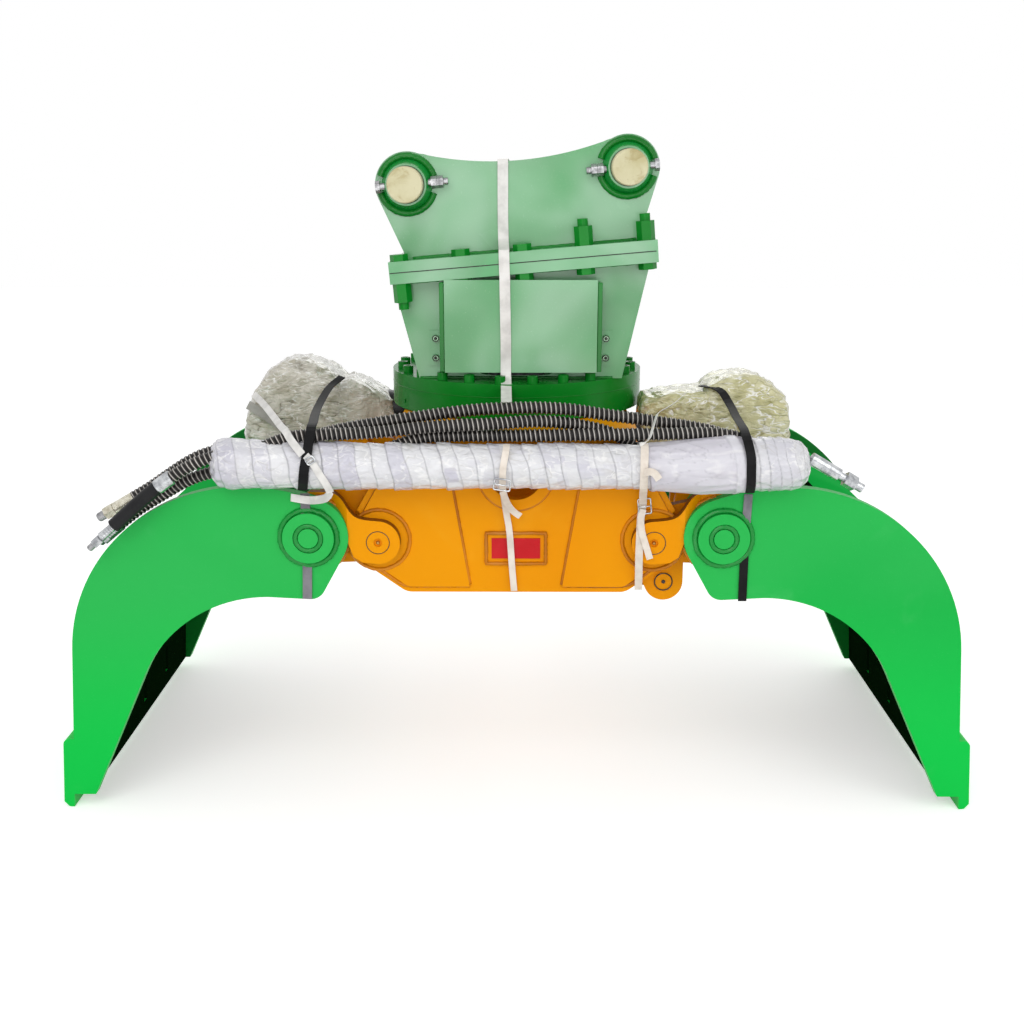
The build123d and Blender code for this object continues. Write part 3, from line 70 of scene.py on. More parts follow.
class Graph:
    """Short calls for building the nodes of a material or of the world."""

    def __init__(self, owner):
        owner.use_nodes = True
        self.owner = owner
        self.tree = owner.node_tree
        self.shader = self.tree.nodes.get("Principled BSDF")
        self.coords = self.new("TexCoord")

    def new(self, kind):
        return self.tree.nodes.new("ShaderNode" + kind)

    def feed(self, value, socket):
        """Link an output to a socket, or set the socket's own number or colour."""
        if isinstance(value, tuple):
            socket.default_value = (*value, 1)
        elif isinstance(value, (int, float)):
            socket.default_value = value
        else:
            self.tree.links.new(value, socket)

    def noise(self, scale, detail=3.0, rough=0.55, stretch=(1, 1, 1), distortion=0.0, turn=0.0):
        mapping = self.new("Mapping")
        mapping.inputs["Scale"].default_value = stretch
        mapping.inputs["Rotation"].default_value = (0, turn, 0)
        self.feed(self.coords.outputs["Object"], mapping.inputs["Vector"])
        node = self.new("TexNoise")
        self.feed(mapping.outputs[0], node.inputs["Vector"])
        values = {"Scale": scale, "Detail": detail, "Roughness": rough, "Distortion": distortion}
        for name, value in values.items():
            self.feed(value, node.inputs[name])
        return node.outputs["Fac"]

    def ridge(self, scale, detail, rough, stretch, distortion, turn):
        """Sharp folds: 0 along a crease, rising toward 1 between creases."""
        value = self.noise(scale, detail, rough, stretch, distortion, turn)
        return self.times(self.size(self.math("SUBTRACT", value, 0.5)), 4.0)

    def ramp(self, value, low, high):
        """0 below low, 1 above high, and smooth between."""
        node = self.new("MapRange")
        node.interpolation_type = "SMOOTHSTEP"
        self.feed(low, node.inputs["From Min"])
        self.feed(high, node.inputs["From Max"])
        self.feed(value, node.inputs["Value"])
        return node.outputs[0]

    def math(self, kind, *values):
        node = self.new("Math")
        node.operation = kind
        for index, value in enumerate(values):
            self.feed(value, node.inputs[index])
        return node.outputs[0]

    def times(self, a, b):
        return self.math("MULTIPLY", a, b)

    def plus(self, a, b):
        return self.math("ADD", a, b)

    def rest(self, value):
        """What is left of 1."""
        return self.math("SUBTRACT", 1.0, value)

    def size(self, value):
        """The value without its sign."""
        return self.math("ABSOLUTE", value)

    def mix(self, factor, a, b):
        node = self.new("Mix")
        node.data_type = "RGBA"
        for value, index in ((factor, 0), (a, 6), (b, 7)):
            self.feed(value, node.inputs[index])
        return node.outputs[2]

    def split(self, output):
        """X, Y and Z of the place on the object, or of its normal."""
        node = self.new("SeparateXYZ")
        self.feed(self.coords.outputs[output], node.inputs[0])
        return node.outputs

    def facing(self, axis, low, high):
        """0 to 1 as the surface turns to face along an axis of the object, either way."""
        return self.ramp(self.size(self.split("Normal")[axis]), low, high)

    def attribute(self, name):
        node = self.new("Attribute")
        node.attribute_name = name
        return node.outputs["Fac"]

    def seen(self):
        """1 where the camera, a reflection or glass sees the surface, 0 for the light that it gives."""
        rays = self.new("LightPath").outputs
        direct = self.plus(rays["Is Camera Ray"], rays["Is Glossy Ray"])
        return self.plus(direct, rays["Is Transmission Ray"])

    def bump(self, *layers):
        """Relief from (height, strength, distance) layers, one on the other."""
        previous = None
        for height, strength, distance in layers:
            node = self.new("Bump")
            self.feed(strength, node.inputs["Strength"])
            self.feed(distance, node.inputs["Distance"])
            self.feed(height, node.inputs["Height"])
            if previous is not None:
                self.feed(previous, node.inputs["Normal"])
            previous = node.outputs[0]
        self.feed(previous, self.shader.inputs["Normal"])

    def finish(self, colour, roughness=0.4, metallic=0.0, coat=0.0, coat_rough=0.1, specular=0.5):
        values = {"Base Color": colour, "Roughness": roughness, "Metallic": metallic, "Coat Weight": coat,
                  "Coat Roughness": coat_rough, "Specular IOR Level": specular}
        for name, value in values.items():
            self.feed(value, self.shader.inputs[name])
        return self.owner


def material_graph(name):
    return Graph(bpy.data.materials.new(name))


def lin(r, g, b):
    """Colour as it is seen on a screen, 0 to 255, to linear."""
    return tuple(((c / 255 + 0.055) / 1.055) ** 2.4 if c > 10 else c / 255 / 12.92 for c in (r, g, b))


def paint(name, base, deep, pale, painted_front_glare=0.0, rough=0.3, coat=0.4, patch=2.2, specular=0.4,
          lower=None, edges=None, wave=0.10, inner=None, inward_shade=None):
    """Sprayed paint with soft colour patches, specks, a little grime and orange peel, and, where a front
    amount is given, a painted pale glare on faces that look along y.

    lower is the colour near the floor; edges is painted shade on faces that don't look along y,
    sheltered is painted shade on faces that look at the middle plane, and inner is painted shade
    on a jaw's hollow side, given with the jaw's sign.
    """
    g = material_graph(name)
    colour = g.mix(g.ramp(g.noise(patch, 2.0, 0.5, distortion=0.6), 0.35, 0.68), base, deep)
    if lower:
        colour = g.mix(g.rest(g.ramp(g.split("Object")["Z"], 0.10, 0.62)), colour, lower)
    # painted highlight: a pale glare in soft patches on faces that look along y
    if painted_front_glare:
        cloud = g.ramp(g.noise(4.2, 2.0, 0.45, distortion=0.5), 0.30, 0.72)
        amount = g.times(g.facing("Y", 0.75, 0.98), g.plus(g.times(cloud, 0.75), 0.25))
        colour = g.mix(g.times(amount, painted_front_glare), colour, pale)
    else:
        cloud = g.ramp(g.noise(6.0, 3.0, 0.6, distortion=0.8), 0.55, 0.85)
        colour = g.mix(g.times(cloud, 0.22), colour, pale)
    # painted shade: faces that don't look along y are darkened
    if edges:
        colour = g.mix(g.rest(g.facing("Y", 0.35, 0.8)), colour, edges)
    # painted shade: faces that look toward the middle plane are darkened
    if inward_shade:
        inward = g.times(g.times(g.split("Object")["Y"], g.split("Normal")["Y"]), -1.0)
        colour = g.mix(g.times(g.ramp(inward, 0.15, 0.35), 0.8), colour, inward_shade)
    # painted shade: the jaw's hollow side is darkened nearly to black
    if inner:
        side, dark = inner
        normal = g.split("Normal")
        outward = g.plus(g.times(normal["X"], side), normal["Z"])
        colour = g.mix(g.ramp(outward, 0.04, 0.20), dark, colour)
    speck = g.ramp(g.noise(420, 1.0, 0.4), 0.70, 0.80)
    colour = g.mix(g.times(speck, 0.22), colour, pale)
    grime = g.ramp(g.noise(38, 6.0, 0.7), 0.68, 0.80)
    colour = g.mix(g.times(grime, 0.10 if inner else 0.25), colour, deep)
    g.bump((g.noise(900, 2.0), 0.12, 0.0006), (g.noise(9, 2.0, 0.4), wave, 0.004))
    rough_map = g.plus(g.times(g.noise(12, 3.0), 0.18), rough - 0.09)
    return g.finish(colour, rough_map, coat=coat, coat_rough=0.12, specular=specular)


# jaw paint with painted shade on the plate faces that look toward the middle plane
jaw_green = paint("jaw_green", lin(46, 184, 84), lin(26, 176, 72), lin(96, 204, 124), rough=0.42, coat=0.0,
                  patch=1.3, specular=0.12, lower=lin(6, 202, 74), inward_shade=lin(2, 84, 22))
# skin paint with painted shade on the jaw's hollow side
skin_green = {side: paint("skin_green_" + side, lin(40, 178, 78), lin(22, 168, 66), lin(84, 196, 112),
                          rough=0.5, coat=0.0, patch=1.3, specular=0.0, lower=lin(6, 192, 68),
                          inner=(sign, lin(8, 28, 9)))
              for side, sign in SIDES}
# head paint with a painted pale glare on its faces that look along y
head_green = paint("head_green", lin(22, 148, 60), lin(12, 132, 48), lin(206, 236, 214), painted_front_glare=0.46,
                   coat=0.35, patch=3.0, rough=0.24, wave=0.22, specular=0.25)
ring_green = paint("ring_green", lin(6, 134, 36), lin(3, 116, 26), lin(70, 176, 96), coat=0.12, rough=0.25,
                   specular=0.10)
# flange paint with a painted pale glare on its faces that look along y
flange_green = paint("flange_green", lin(40, 154, 74), lin(24, 138, 58), lin(206, 236, 214), painted_front_glare=0.42,
                     coat=0.35, patch=7.0, rough=0.24, wave=0.2, specular=0.25)
bead_green = paint("bead_green", lin(6, 128, 36), lin(3, 106, 24), lin(80, 190, 104), coat=0.25, rough=0.2,
                   specular=0.15)
jaw_bead = paint("jaw_bead", lin(10, 140, 52), lin(5, 118, 38), lin(110, 204, 132), coat=0.25, rough=0.22,
                 specular=0.2)
orange = paint("orange", lin(238, 154, 2), lin(230, 142, 0), lin(246, 182, 50), rough=0.36, coat=0.0,
               patch=1.6, specular=0.08)
# root plate paint with painted shade on the plate edges
orange_root = paint("orange_root", lin(238, 154, 2), lin(230, 142, 0), lin(246, 182, 50), rough=0.36,
                    coat=0.0, patch=1.6, specular=0.08, edges=lin(126, 74, 16))
orange_deep = paint("orange_deep", lin(214, 130, 6), lin(160, 90, 8), lin(250, 200, 110), rough=0.28,
                    coat=0.15, specular=0.15)
sign_red = paint("sign_red", lin(206, 14, 28), lin(186, 8, 20), lin(226, 60, 66), coat=0.1, specular=0.15)
black_paint = paint("black_paint", lin(34, 34, 36), lin(20, 20, 22), lin(70, 70, 72), rough=0.4, coat=0.1,
                    specular=0.2)


def steel(name, base, dark, rough=0.32, metallic=0.9, scale=60, stain=None):
    """Bare metal in two tones, with stained spots where a stain is given."""
    g = material_graph(name)
    tone = g.ramp(g.noise(scale, 4.0, 0.6), 0.35, 0.7)
    colour = g.mix(tone, base, dark)
    if stain:
        spots = g.ramp(g.noise(28, 5.0, 0.65, distortion=1.0), 0.52, 0.72)
        colour = g.mix(g.times(spots, 0.6), colour, stain)
    g.bump((g.noise(scale * 6, 2.0), 0.15, 0.0004))
    return g.finish(colour, g.plus(g.times(tone, 0.2), rough - 0.1), metallic=metallic)


pin_cream = steel("pin_cream", lin(206, 200, 164), lin(190, 182, 138), rough=0.5, metallic=0.1, scale=14,
                  stain=lin(160, 142, 88))
bright_steel = steel("bright_steel", lin(206, 208, 210), lin(150, 152, 156), rough=0.25)
black_bolt = steel("black_bolt", lin(70, 68, 68), lin(36, 34, 34), rough=0.35, metallic=0.7)
machined = steel("machined", lin(170, 170, 172), lin(120, 120, 122), rough=0.34)
chrome = steel("chrome_rod", lin(225, 226, 230), lin(205, 206, 212), rough=0.14, metallic=1.0)
bronze = steel("bronze", lin(200, 158, 92), lin(160, 118, 60), rough=0.35)
screw_pale = steel("screw_pale", lin(150, 178, 150), lin(104, 140, 108), rough=0.3, metallic=0.5)
pale_steel = steel("pale_steel", lin(226, 222, 206), lin(176, 170, 150), rough=0.3, metallic=0.6)
cast_dark = steel("cast_dark", lin(62, 62, 64), lin(40, 40, 42), rough=0.6, metallic=0.3, scale=120)


def make_film(name, white, shade, stain, stain_and_shade_amount, scale, stretch, coat=0.6, rough=0.14, marked=False,
              depth=1.0, glint=0.7):
    """Packing film over padding: sheen, sharp folds, stain blots, painted highlights along the crinkles
    and painted shade along the creases.

    A marked mesh has its tone and its seams as attributes.
    """
    g = material_graph(name)
    big = g.ridge(scale, 1.2, 0.45, stretch, 0.5, 0.55)
    middle = g.ridge(scale * 2.0, 1.5, 0.5, stretch, 0.7, -0.5)
    fine = g.ridge(scale * 4.5, 1.5, 0.5, stretch, 0.8, 0.9)
    if marked:
        tone = g.attribute("tone")
    else:
        tone = g.ramp(g.noise(9, 4.0, 0.6, distortion=1.5), 0.35, 0.75)
    colour = g.mix(tone, white, shade)
    blot = g.ramp(g.noise(13, 5.0, 0.62, distortion=2.0), 0.48, 0.78)
    colour = g.mix(g.times(blot, stain_and_shade_amount), colour, stain)
    # painted shade: darker along the sharp creases, toward the stain colour
    crease = g.times(g.rest(g.ramp(big, 0.0, 0.13)), g.ramp(g.noise(16, 2.0), 0.42, 0.62))
    colour = g.mix(g.times(crease, stain_and_shade_amount * 1.3), colour, stain)
    # painted highlight: near-white streaks along the middle folds, in patches
    patches = g.ramp(g.noise(19, 3.0, distortion=1.0), 0.44, 0.60)
    shine = g.times(g.rest(g.ramp(middle, 0.0, 0.24)), patches)
    colour = g.mix(g.times(shine, glint), colour, lin(250, 249, 246))
    if marked:
        colour = g.mix(g.times(g.attribute("seam"), 0.55), colour, lin(132, 130, 138))
    g.bump((big, 0.6 * depth, 0.005), (middle, 0.6 * depth, 0.003), (fine, 0.45 * depth, 0.0012))
    return g.finish(colour, g.plus(g.times(middle, 0.10), rough), coat=coat, coat_rough=0.08)


roll_film = make_film("roll_film", lin(219, 219, 222), lin(192, 190, 203), lin(168, 162, 146), 0.20, 26,
                      (0.6, 1, 1), coat=0.35, marked=True, depth=0.7, glint=0.45)
roll_cloth = make_film("roll_cloth", lin(216, 215, 221), lin(196, 192, 203), lin(172, 166, 172), 0.16, 12,
                       (0.3, 1, 1), coat=0.1, rough=0.36, marked=True, depth=0.6, glint=0.3)
lump_grey = make_film("lump_grey", lin(214, 209, 197), lin(178, 171, 150), lin(92, 82, 56), 0.50, 34,
                      (0.4, 1, 1), coat=0.8, glint=0.85)
lump_olive = make_film("lump_olive", lin(214, 210, 170), lin(180, 175, 116), lin(112, 104, 48), 0.50, 34,
                       (0.4, 1, 1), coat=0.8, glint=0.85)


def make_plastic(name, base, dark, rough=0.4, weave=0.0, specular=0.5):
    """Strap or sleeve plastic, woven where a weave's strength is given."""
    g = material_graph(name)
    colour = g.mix(g.ramp(g.noise(30, 3.0), 0.35, 0.75), base, dark)
    layers = [(g.noise(300, 2.0), 0.2, 0.0004)]
    if weave:
        wave = g.new("TexWave")
        wave.inputs["Scale"].default_value = 160
        g.feed(g.coords.outputs["Object"], wave.inputs["Vector"])
        layers.append((wave.outputs["Fac"], weave, 0.0006))
    g.bump(*layers)
    return g.finish(colour, rough, specular=specular)


strap_white = make_plastic("strap_white", lin(232, 230, 226), lin(206, 204, 200), 0.38, weave=0.25)
strap_cream = make_plastic("strap_cream", lin(236, 226, 214), lin(216, 204, 190), 0.5, weave=0.5)
strap_black = make_plastic("strap_black", lin(22, 22, 23), lin(12, 12, 13), 0.5, weave=0.3, specular=0.12)
strap_grey = make_plastic("strap_grey", lin(126, 124, 130), lin(92, 90, 98), 0.3, weave=0.3)
tie_grey = make_plastic("tie_grey", lin(176, 172, 168), lin(150, 146, 142))
sleeve_black = make_plastic("sleeve_black", lin(30, 30, 32), lin(18, 18, 20), 0.5, specular=0.2)


def make_guard():
    """Spring guard: wide dull coils, a thin painted highlight on each, and black between them."""
    g = material_graph("hose_guard")
    part = g.math("FRACT", g.attribute("turns"))
    off_crest = g.times(g.size(g.math("SUBTRACT", part, 0.5)), 2.0)
    off_line = g.size(g.math("SUBTRACT", part, 0.44))
    tone = g.ramp(g.noise(24, 3.0), 0.3, 0.7)
    colour = g.mix(tone, lin(66, 61, 57), lin(44, 41, 39))
    # painted highlight: a thin bright line near each coil's crest
    line = g.rest(g.ramp(off_line, 0.045, 0.13))
    colour = g.mix(g.times(line, g.plus(g.times(tone, -0.3), 0.95)), colour, lin(206, 201, 195))
    colour = g.mix(g.ramp(off_crest, 0.50, 0.72), colour, lin(12, 11, 11))
    g.bump((g.noise(500, 2.0), 0.15, 0.0004))
    return g.finish(colour, 0.42, specular=0.25)


hose_guard = make_guard()


# Geometry helpers

def mesh_object(name, verts, faces, material, smooth=True):
    mesh = bpy.data.meshes.new(name)
    mesh.from_pydata([tuple(v) for v in verts], [], faces)
    mesh.validate()
    mesh.update()
    bm = bmesh.new()
    bm.from_mesh(mesh)
    bmesh.ops.recalc_face_normals(bm, faces=bm.faces)
    bm.to_mesh(mesh)
    bm.free()
    for polygon in mesh.polygons:
        polygon.use_smooth = smooth
    obj = bpy.data.objects.new(name, mesh)
    scene.collection.objects.link(obj)
    mesh.materials.append(material)
    return obj


def skin_faces(rows, sides, closed=False):
    """Quads between rows of points, with a flat face on each end unless the rows close in a loop."""
    faces = []
    for row in range(rows if closed else rows - 1):
        here, there = row * sides, (row + 1) % rows * sides
        for k in range(sides):
            n = (k + 1) % sides
            faces.append((here + k, here + n, there + n, there + k))
    if not closed:
        faces.append(tuple(range(sides)))
        faces.append(tuple(range((rows - 1) * sides, rows * sides)))
    return faces


def smooth_path(points, step):
    """Points on a smooth line through given points, about a step apart."""
    points = [Vector(p) for p in points]
    if len(points) == 2:
        count = max(2, round((points[1] - points[0]).length / step))
        return [points[0].lerp(points[1], i / count) for i in range(count + 1)]
    out = []
    padded = [points[0] * 2 - points[1]] + points + [points[-1] * 2 - points[-2]]
    for a, b, c, d in zip(padded, padded[1:], padded[2:], padded[3:]):
        count = max(2, round((c - b).length / step))
        for i in range(count):
            t = i / count
            out.append(0.5 * ((2 * b) + (c - a) * t + (2 * a - 5 * b + 4 * c - d) * t * t
                              + (3 * b - a - 3 * c + d) * t ** 3))
    out.append(points[-1])
    return out


def tube(name, points, radius, material, sides=12, lumpy=0.0, closed=False, attribute=None):
    """Round tube along points.

    The radius is a number, or a function of the length so far and the angle. The function also gives
    the value of the attribute there.
    """
    verts = []
    marks = []
    count = len(points)
    travelled = 0.0
    normal = None
    for i, p in enumerate(points):
        ahead = points[(i + 1) % count] if closed or i < count - 1 else points[i]
        behind = points[i - 1] if closed or i > 0 else points[i]
        tangent = (ahead - behind).normalized()
        if normal is None:
            normal = tangent.orthogonal().normalized()
        normal = (normal - tangent * normal.dot(tangent)).normalized()
        side = tangent.cross(normal)
        if i:
            travelled += (p - points[i - 1]).length
        for k in range(sides):
            angle = math.tau * k / sides
            r, mark = radius(travelled, angle) if callable(radius) else (radius, 0.0)
            if lumpy:
                place = Vector((p.x * 140 + angle, p.y * 140, p.z * 140 + i * 0.1))
                r *= 1 + lumpy * noise.noise(place)
            verts.append(p + (normal * math.cos(angle) + side * math.sin(angle)) * r)
            marks.append(mark)
    obj = mesh_object(name, verts, skin_faces(count, sides, closed), material)
    if attribute:
        obj.data.attributes.new(attribute, "FLOAT", "POINT").data.foreach_set("value", marks)
    return obj


def circle(centre, radius, axis="Y", start=0.0, end=360.0, count=96):
    out = []
    full = abs(end - start) >= 360
    for i in range(count if full else count + 1):
        a = math.radians(start + (end - start) * i / count)
        c, s = radius * math.cos(a), radius * math.sin(a)
        out.append(Vector(centre) + Vector((c, 0, s) if axis == "Y" else (c, s, 0)))
    return out


def bead(name, points, radius, material, body, closed=False, lumpy=0.28):
    obj = tube(name, points, radius, material, sides=10, lumpy=lumpy, closed=closed)
    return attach(obj, body)


def mark(name, centre, radius, thick, body, material=black_bolt, **options):
    """Thin ring on a face, such as the line round a pin."""
    return bead(name, circle(centre, radius, **options), thick, material, body, closed=True, lumpy=0)


def strap(name, body, material, width, thick, points, across=(1, 0, 0), step=12):
    """Flat strap along points, its width lying along a given direction. Sizes are in millimetres."""
    path = smooth_path([Vector(p) / 1000 for p in points], step / 1000)
    across = Vector(across).normalized()
    half_width, half_thick = width / 2000, thick / 2000
    verts = []
    for i, p in enumerate(path):
        tangent = (path[min(i + 1, len(path) - 1)] - path[max(i - 1, 0)]).normalized()
        side = (across - tangent * across.dot(tangent)).normalized() * half_width
        up = tangent.cross(side).normalized() * half_thick
        verts += [p - side - up, p + side - up, p + side + up, p - side + up]
    obj = mesh_object(name, verts, skin_faces(len(path), 4), material, smooth=False)
    bevel = obj.modifiers.new("bevel", "BEVEL")
    bevel.width = half_thick * 0.6
    bevel.segments = 1
    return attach(obj, body)


def lathe(name, start, axis, profile, sides, material):
    """Piece of equal sides round a line, from (distance along, radius) points, riding the frame."""
    turn = axis.to_track_quat("Z", "Y").to_matrix()
    verts = []
    for along, r in profile:
        for k in range(sides):
            a = math.tau * k / sides
            verts.append(start + turn @ Vector((r * math.cos(a), r * math.sin(a), along)))
    obj = mesh_object(name, verts, skin_faces(len(profile), sides), material, smooth=sides > 6)
    if sides > 6:
        obj.modifiers.new("edges", "EDGE_SPLIT").split_angle = math.radians(35)
    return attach(obj, "frame")


# Hoses: the routes repeat those of the CAD source, in millimetres

ROUTES = {
    "hose_arc_upper": [
        (-505, -454, 850), (-456, -444, 875), (-400, -438, 892), (-329, -436, 905), (-251, -436, 917),
        (-173, -436, 928), (-95, -436, 938), (-18, -436, 942), (60, -436, 943), (125, -436, 939),
        (190, -436, 928), (255, -436, 920), (320, -436, 910), (385, -437, 901), (436, -440, 891),
        (474, -443, 876), (505, -446, 856)],
    "hose_arc_middle": [
        (-572, -488, 850), (-525, -484, 876), (-475, -479, 889), (-420, -475, 890.5), (-350, -471, 892),
        (-280, -468, 896), (-205, -468, 906), (-120, -467, 910.5), (-40, -463, 912.5), (30, -456, 917.5),
        (95, -445, 913.5), (150, -439, 903), (198, -437, 892), (238, -441, 874), (264, -450, 854)],
    "hose_arc_lower": [
        (-302, -463, 846), (-252, -454, 867), (-200, -450, 881.5), (-130, -450, 884), (-40, -453, 884.5),
        (30, -457, 885.5), (100, -464, 888), (175, -467, 890), (250, -469, 891), (330, -471, 892.5),
        (405, -473, 895), (462, -476, 891), (502, -480, 878), (532, -483, 860)],
    "hose_tail_upper": [
        (-628, -499, 853), (-665, -500, 843), (-706, -500, 824), (-756, -500, 793), (-812, -500, 749),
        (-874, -500, 693)],
    "hose_tail_lower": [
        (-628, -464, 812), (-680, -459, 800), (-728, -452, 780), (-770, -444, 754), (-808, -441.5, 732),
        (-845, -441.5, 708.5), (-880, -441.5, 680)],
    "hose_tail_back": [
        (-628, -463, 858), (-672, -462, 848), (-715, -461, 827), (-760, -460, 797), (-800, -459, 769),
        (-838, -458, 747)],
}
COIL = 0.0105
COIL_DEPTH = 0.0026
COIL_LEAN = 0.22


def route_points(name, points):
    """Points read from the smooth line whose control points are the route's."""
    curve = bpy.data.curves.new(name + "_line", "CURVE")
    curve.dimensions = "3D"
    curve.resolution_u = 46 if "arc" in name else 30
    spline = curve.splines.new("NURBS")
    spline.resolution_u = curve.resolution_u
    spline.points.add(len(points) - 1)
    for target, (x, y, z) in zip(spline.points, points):
        target.co = (x / 1000, y / 1000, z / 1000, 1)
    spline.order_u = 3
    spline.use_endpoint_u = True
    line = bpy.data.objects.new(name + "_line", curve)
    mesh = bpy.data.meshes.new_from_object(line)
    found = [v.co.copy() for v in mesh.vertices]
    bpy.data.objects.remove(line)
    bpy.data.curves.remove(curve)
    bpy.data.meshes.remove(mesh)
    return found


def spring(travelled, angle):
    """Radius of the coiled guard, and how many turns lie behind the place."""
    turns = travelled / COIL + COIL_LEAN * math.cos(angle)
    lift = max(0.0, math.cos(((turns % 1.0) - 0.5) * math.pi * 1.25))
    return HOSE_R - COIL_DEPTH + COIL_DEPTH * lift ** 0.6, turns


hoses = {}
for hose_name, route in ROUTES.items():
    line = route_points(hose_name, route)
    hose = tube(hose_name + "_guard", line, spring, hose_guard, sides=20, attribute="turns")
    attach(hose, "frame")
    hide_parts(hose_name)
    hoses[hose_name] = hose, line


# Hoses wound together in film: x in metres, then the top and the bottom in millimetres

ROLL = [(-0.655, 868, 790), (-0.640, 880, 776), (-0.615, 885, 772), (-0.570, 881, 773),
        (-0.500, 878, 772), (-0.400, 875.5, 770.5), (-0.280, 874, 770), (0.0, 873.5, 771),
        (0.250, 873, 771), (0.285, 874, 770), (0.340, 880, 766), (0.395, 887, 763), (0.457, 893, 764),
        (0.478, 892, 767), (0.500, 888, 769), (0.545, 889, 770), (0.590, 886, 772), (0.612, 878, 775),
        (0.628, 862, 785), (0.636, 845, 800)]
ROLL_SIDES, ROLL_ROWS = 112, 640
ROLL_BACK = -0.4263
ROLL_HALF = 0.052
CLOTH = (0.285, 0.498)
BAND = (0.457, 0.482)
BRICKS = (-0.16, 0.21)
FILM_TURN, END_TURN = 0.0365, 0.021


def roll_section(x):
    """Middle height and half height of the bundle at one place along it."""
    for (xa, high_a, low_a), (xb, high_b, low_b) in zip(ROLL, ROLL[1:]):
        if x <= xb:
            break
    t = min(1.0, max(0.0, (x - xa) / (xb - xa)))
    high, low = high_a + (high_b - high_a) * t, low_a + (low_b - low_a) * t
    return (high + low) / 2000, (high - low) / 2000


def roll_relief(x, lean, angle, c, s):
    """Lift of the surface, tone and seam at one place on the bundle.

    Turns of film lie on both sides of a stretch of pleated cloth, which a smooth band closes.
    """
    fold = abs(noise.noise(Vector((x * 30, c * 3.2 + 5, s * 3.2))))
    thin = abs(noise.noise(Vector((x * 75, c * 6 + 9, s * 6))))
    tone = 0.5 + 0.6 * noise.noise(Vector((x * 9, c * 1.5, s * 1.5 + 7)))
    if not CLOTH[0] <= lean <= CLOTH[1]:
        turn = (lean + 1.0) / (FILM_TURN if lean < CLOTH[0] else END_TURN)
        step = turn % 1.0
        level = noise.cell(Vector((math.floor(turn) * 3.71 + 0.3, 1.3, 0.4)))
        lift = (level - 0.5) * 0.0020 + 0.0022 * (0.5 - step) - 0.0022 * fold - 0.0010 * thin
        seam = max(0.0, 1 - min(step, 1 - step) / 0.055)
        tone = 0.55 * level + 0.45 * tone
        if BRICKS[0] < lean < BRICKS[1]:
            column = math.floor(lean / 0.026)
            row = math.floor(angle * 3.0 + 0.5 * (column % 2))
            tone = 0.45 * tone + 0.55 * noise.cell(Vector((column + 0.5, row + 0.5, 3.5)))
    elif BAND[0] < lean < BAND[1]:
        lift = 0.0012 - 0.0030 * thin
        seam = 0.35 * max(0.0, 1 - min(lean - BAND[0], BAND[1] - lean) / 0.003)
        tone = 0.2
    else:
        pleat = abs(noise.noise(Vector((x * 5 + 2, c * 3.2 + x * 8, s * 3.2 - x * 8))))
        small = abs(noise.noise(Vector((x * 14, c * 7 + x * 22, s * 7 - x * 22))))
        lift = -0.0052 * pleat - 0.0018 * small
        seam = 0.55 * max(0.0, 1 - pleat / 0.035)
    return lift, min(1.0, max(0.0, tone)), seam


def make_roll():
    """The bundle: a rounded bar whose surface follows roll_relief, puckered toward its ends."""
    left, right = ROLL[0][0], ROLL[-1][0]
    verts, tones, seams = [], [], []
    for i in range(ROLL_ROWS + 1):
        x = left + (right - left) * i / ROLL_ROWS
        middle, tall = roll_section(x)
        wide = ROLL_HALF + (tall - ROLL_HALF) * 0.8
        near_end = max(0.0, 1 - min(x - left, right - x) / 0.05)
        sway = noise.noise(Vector((x * 20, 0, 0))) * 3
        for k in range(ROLL_SIDES):
            angle = math.tau * k / ROLL_SIDES
            c, s = math.cos(angle), math.sin(angle)
            lean = x + 0.011 * s + 0.006 * c + 0.008 * noise.noise(Vector((x * 12, c * 0.9 + 3, s * 0.9)))
            lift, tone, seam = roll_relief(x, lean, angle, c, s)
            lift += near_end * 0.0024 * math.sin(angle * 13 + sway)
            verts.append((x, ROLL_BACK - wide + (wide + lift) * c, middle + (tall + lift) * s))
            tones.append(tone)
            seams.append(seam)
    obj = mesh_object("hose_roll_film", verts, skin_faces(ROLL_ROWS + 1, ROLL_SIDES), roll_film)
    obj.data.materials.append(roll_cloth)
    for polygon in obj.data.polygons:
        if CLOTH[0] < polygon.center.x < 0.49:
            polygon.material_index = 1
    for name, values in (("tone", tones), ("seam", seams)):
        obj.data.attributes.new(name, "FLOAT", "POINT").data.foreach_set("value", values)
    return obj


roll = make_roll()
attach(roll, "frame")
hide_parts("hose_roll")


def hose_end(name, start, toward, length, size, material):
    """Crimped sleeve, hexagon and threaded nose of one hose end."""
    axis = Vector(toward).normalized()
    start = Vector(start)
    sleeve_r, groove_r, nose_r, nut_r = (r * size for r in (0.0150, 0.0138, 0.0118, 0.0300 / math.sqrt(3)))
    crimp = [(-0.004, 0.0132 * size), (-0.003, 0.0146 * size)]
    at = 0.0
    while at < length * 0.5:
        crimp += [(at, sleeve_r), (at + 0.0035, sleeve_r), (at + 0.0045, groove_r), (at + 0.0060, groove_r)]
        at += 0.007
    crimp += [(length * 0.52, sleeve_r), (length * 0.54, 0.0120 * size)]
    low, high, chamfer = length * 0.54, length * 0.80, 0.0012
    nut = [(low, nut_r * 0.9), (low + chamfer, nut_r), (high - chamfer, nut_r), (high, nut_r * 0.9)]
    nose = [(length * 0.79, 0.0125 * size), (length * 0.81, nose_r), (length * 0.97, nose_r),
            (length, 0.0100 * size)]
    pieces = [lathe(name + "_crimp", start, axis, crimp, 28, material),
              lathe(name + "_nut", start, axis, nut, 6, material),
              lathe(name + "_nose", start, axis, nose, 28, machined)]
    return pieces


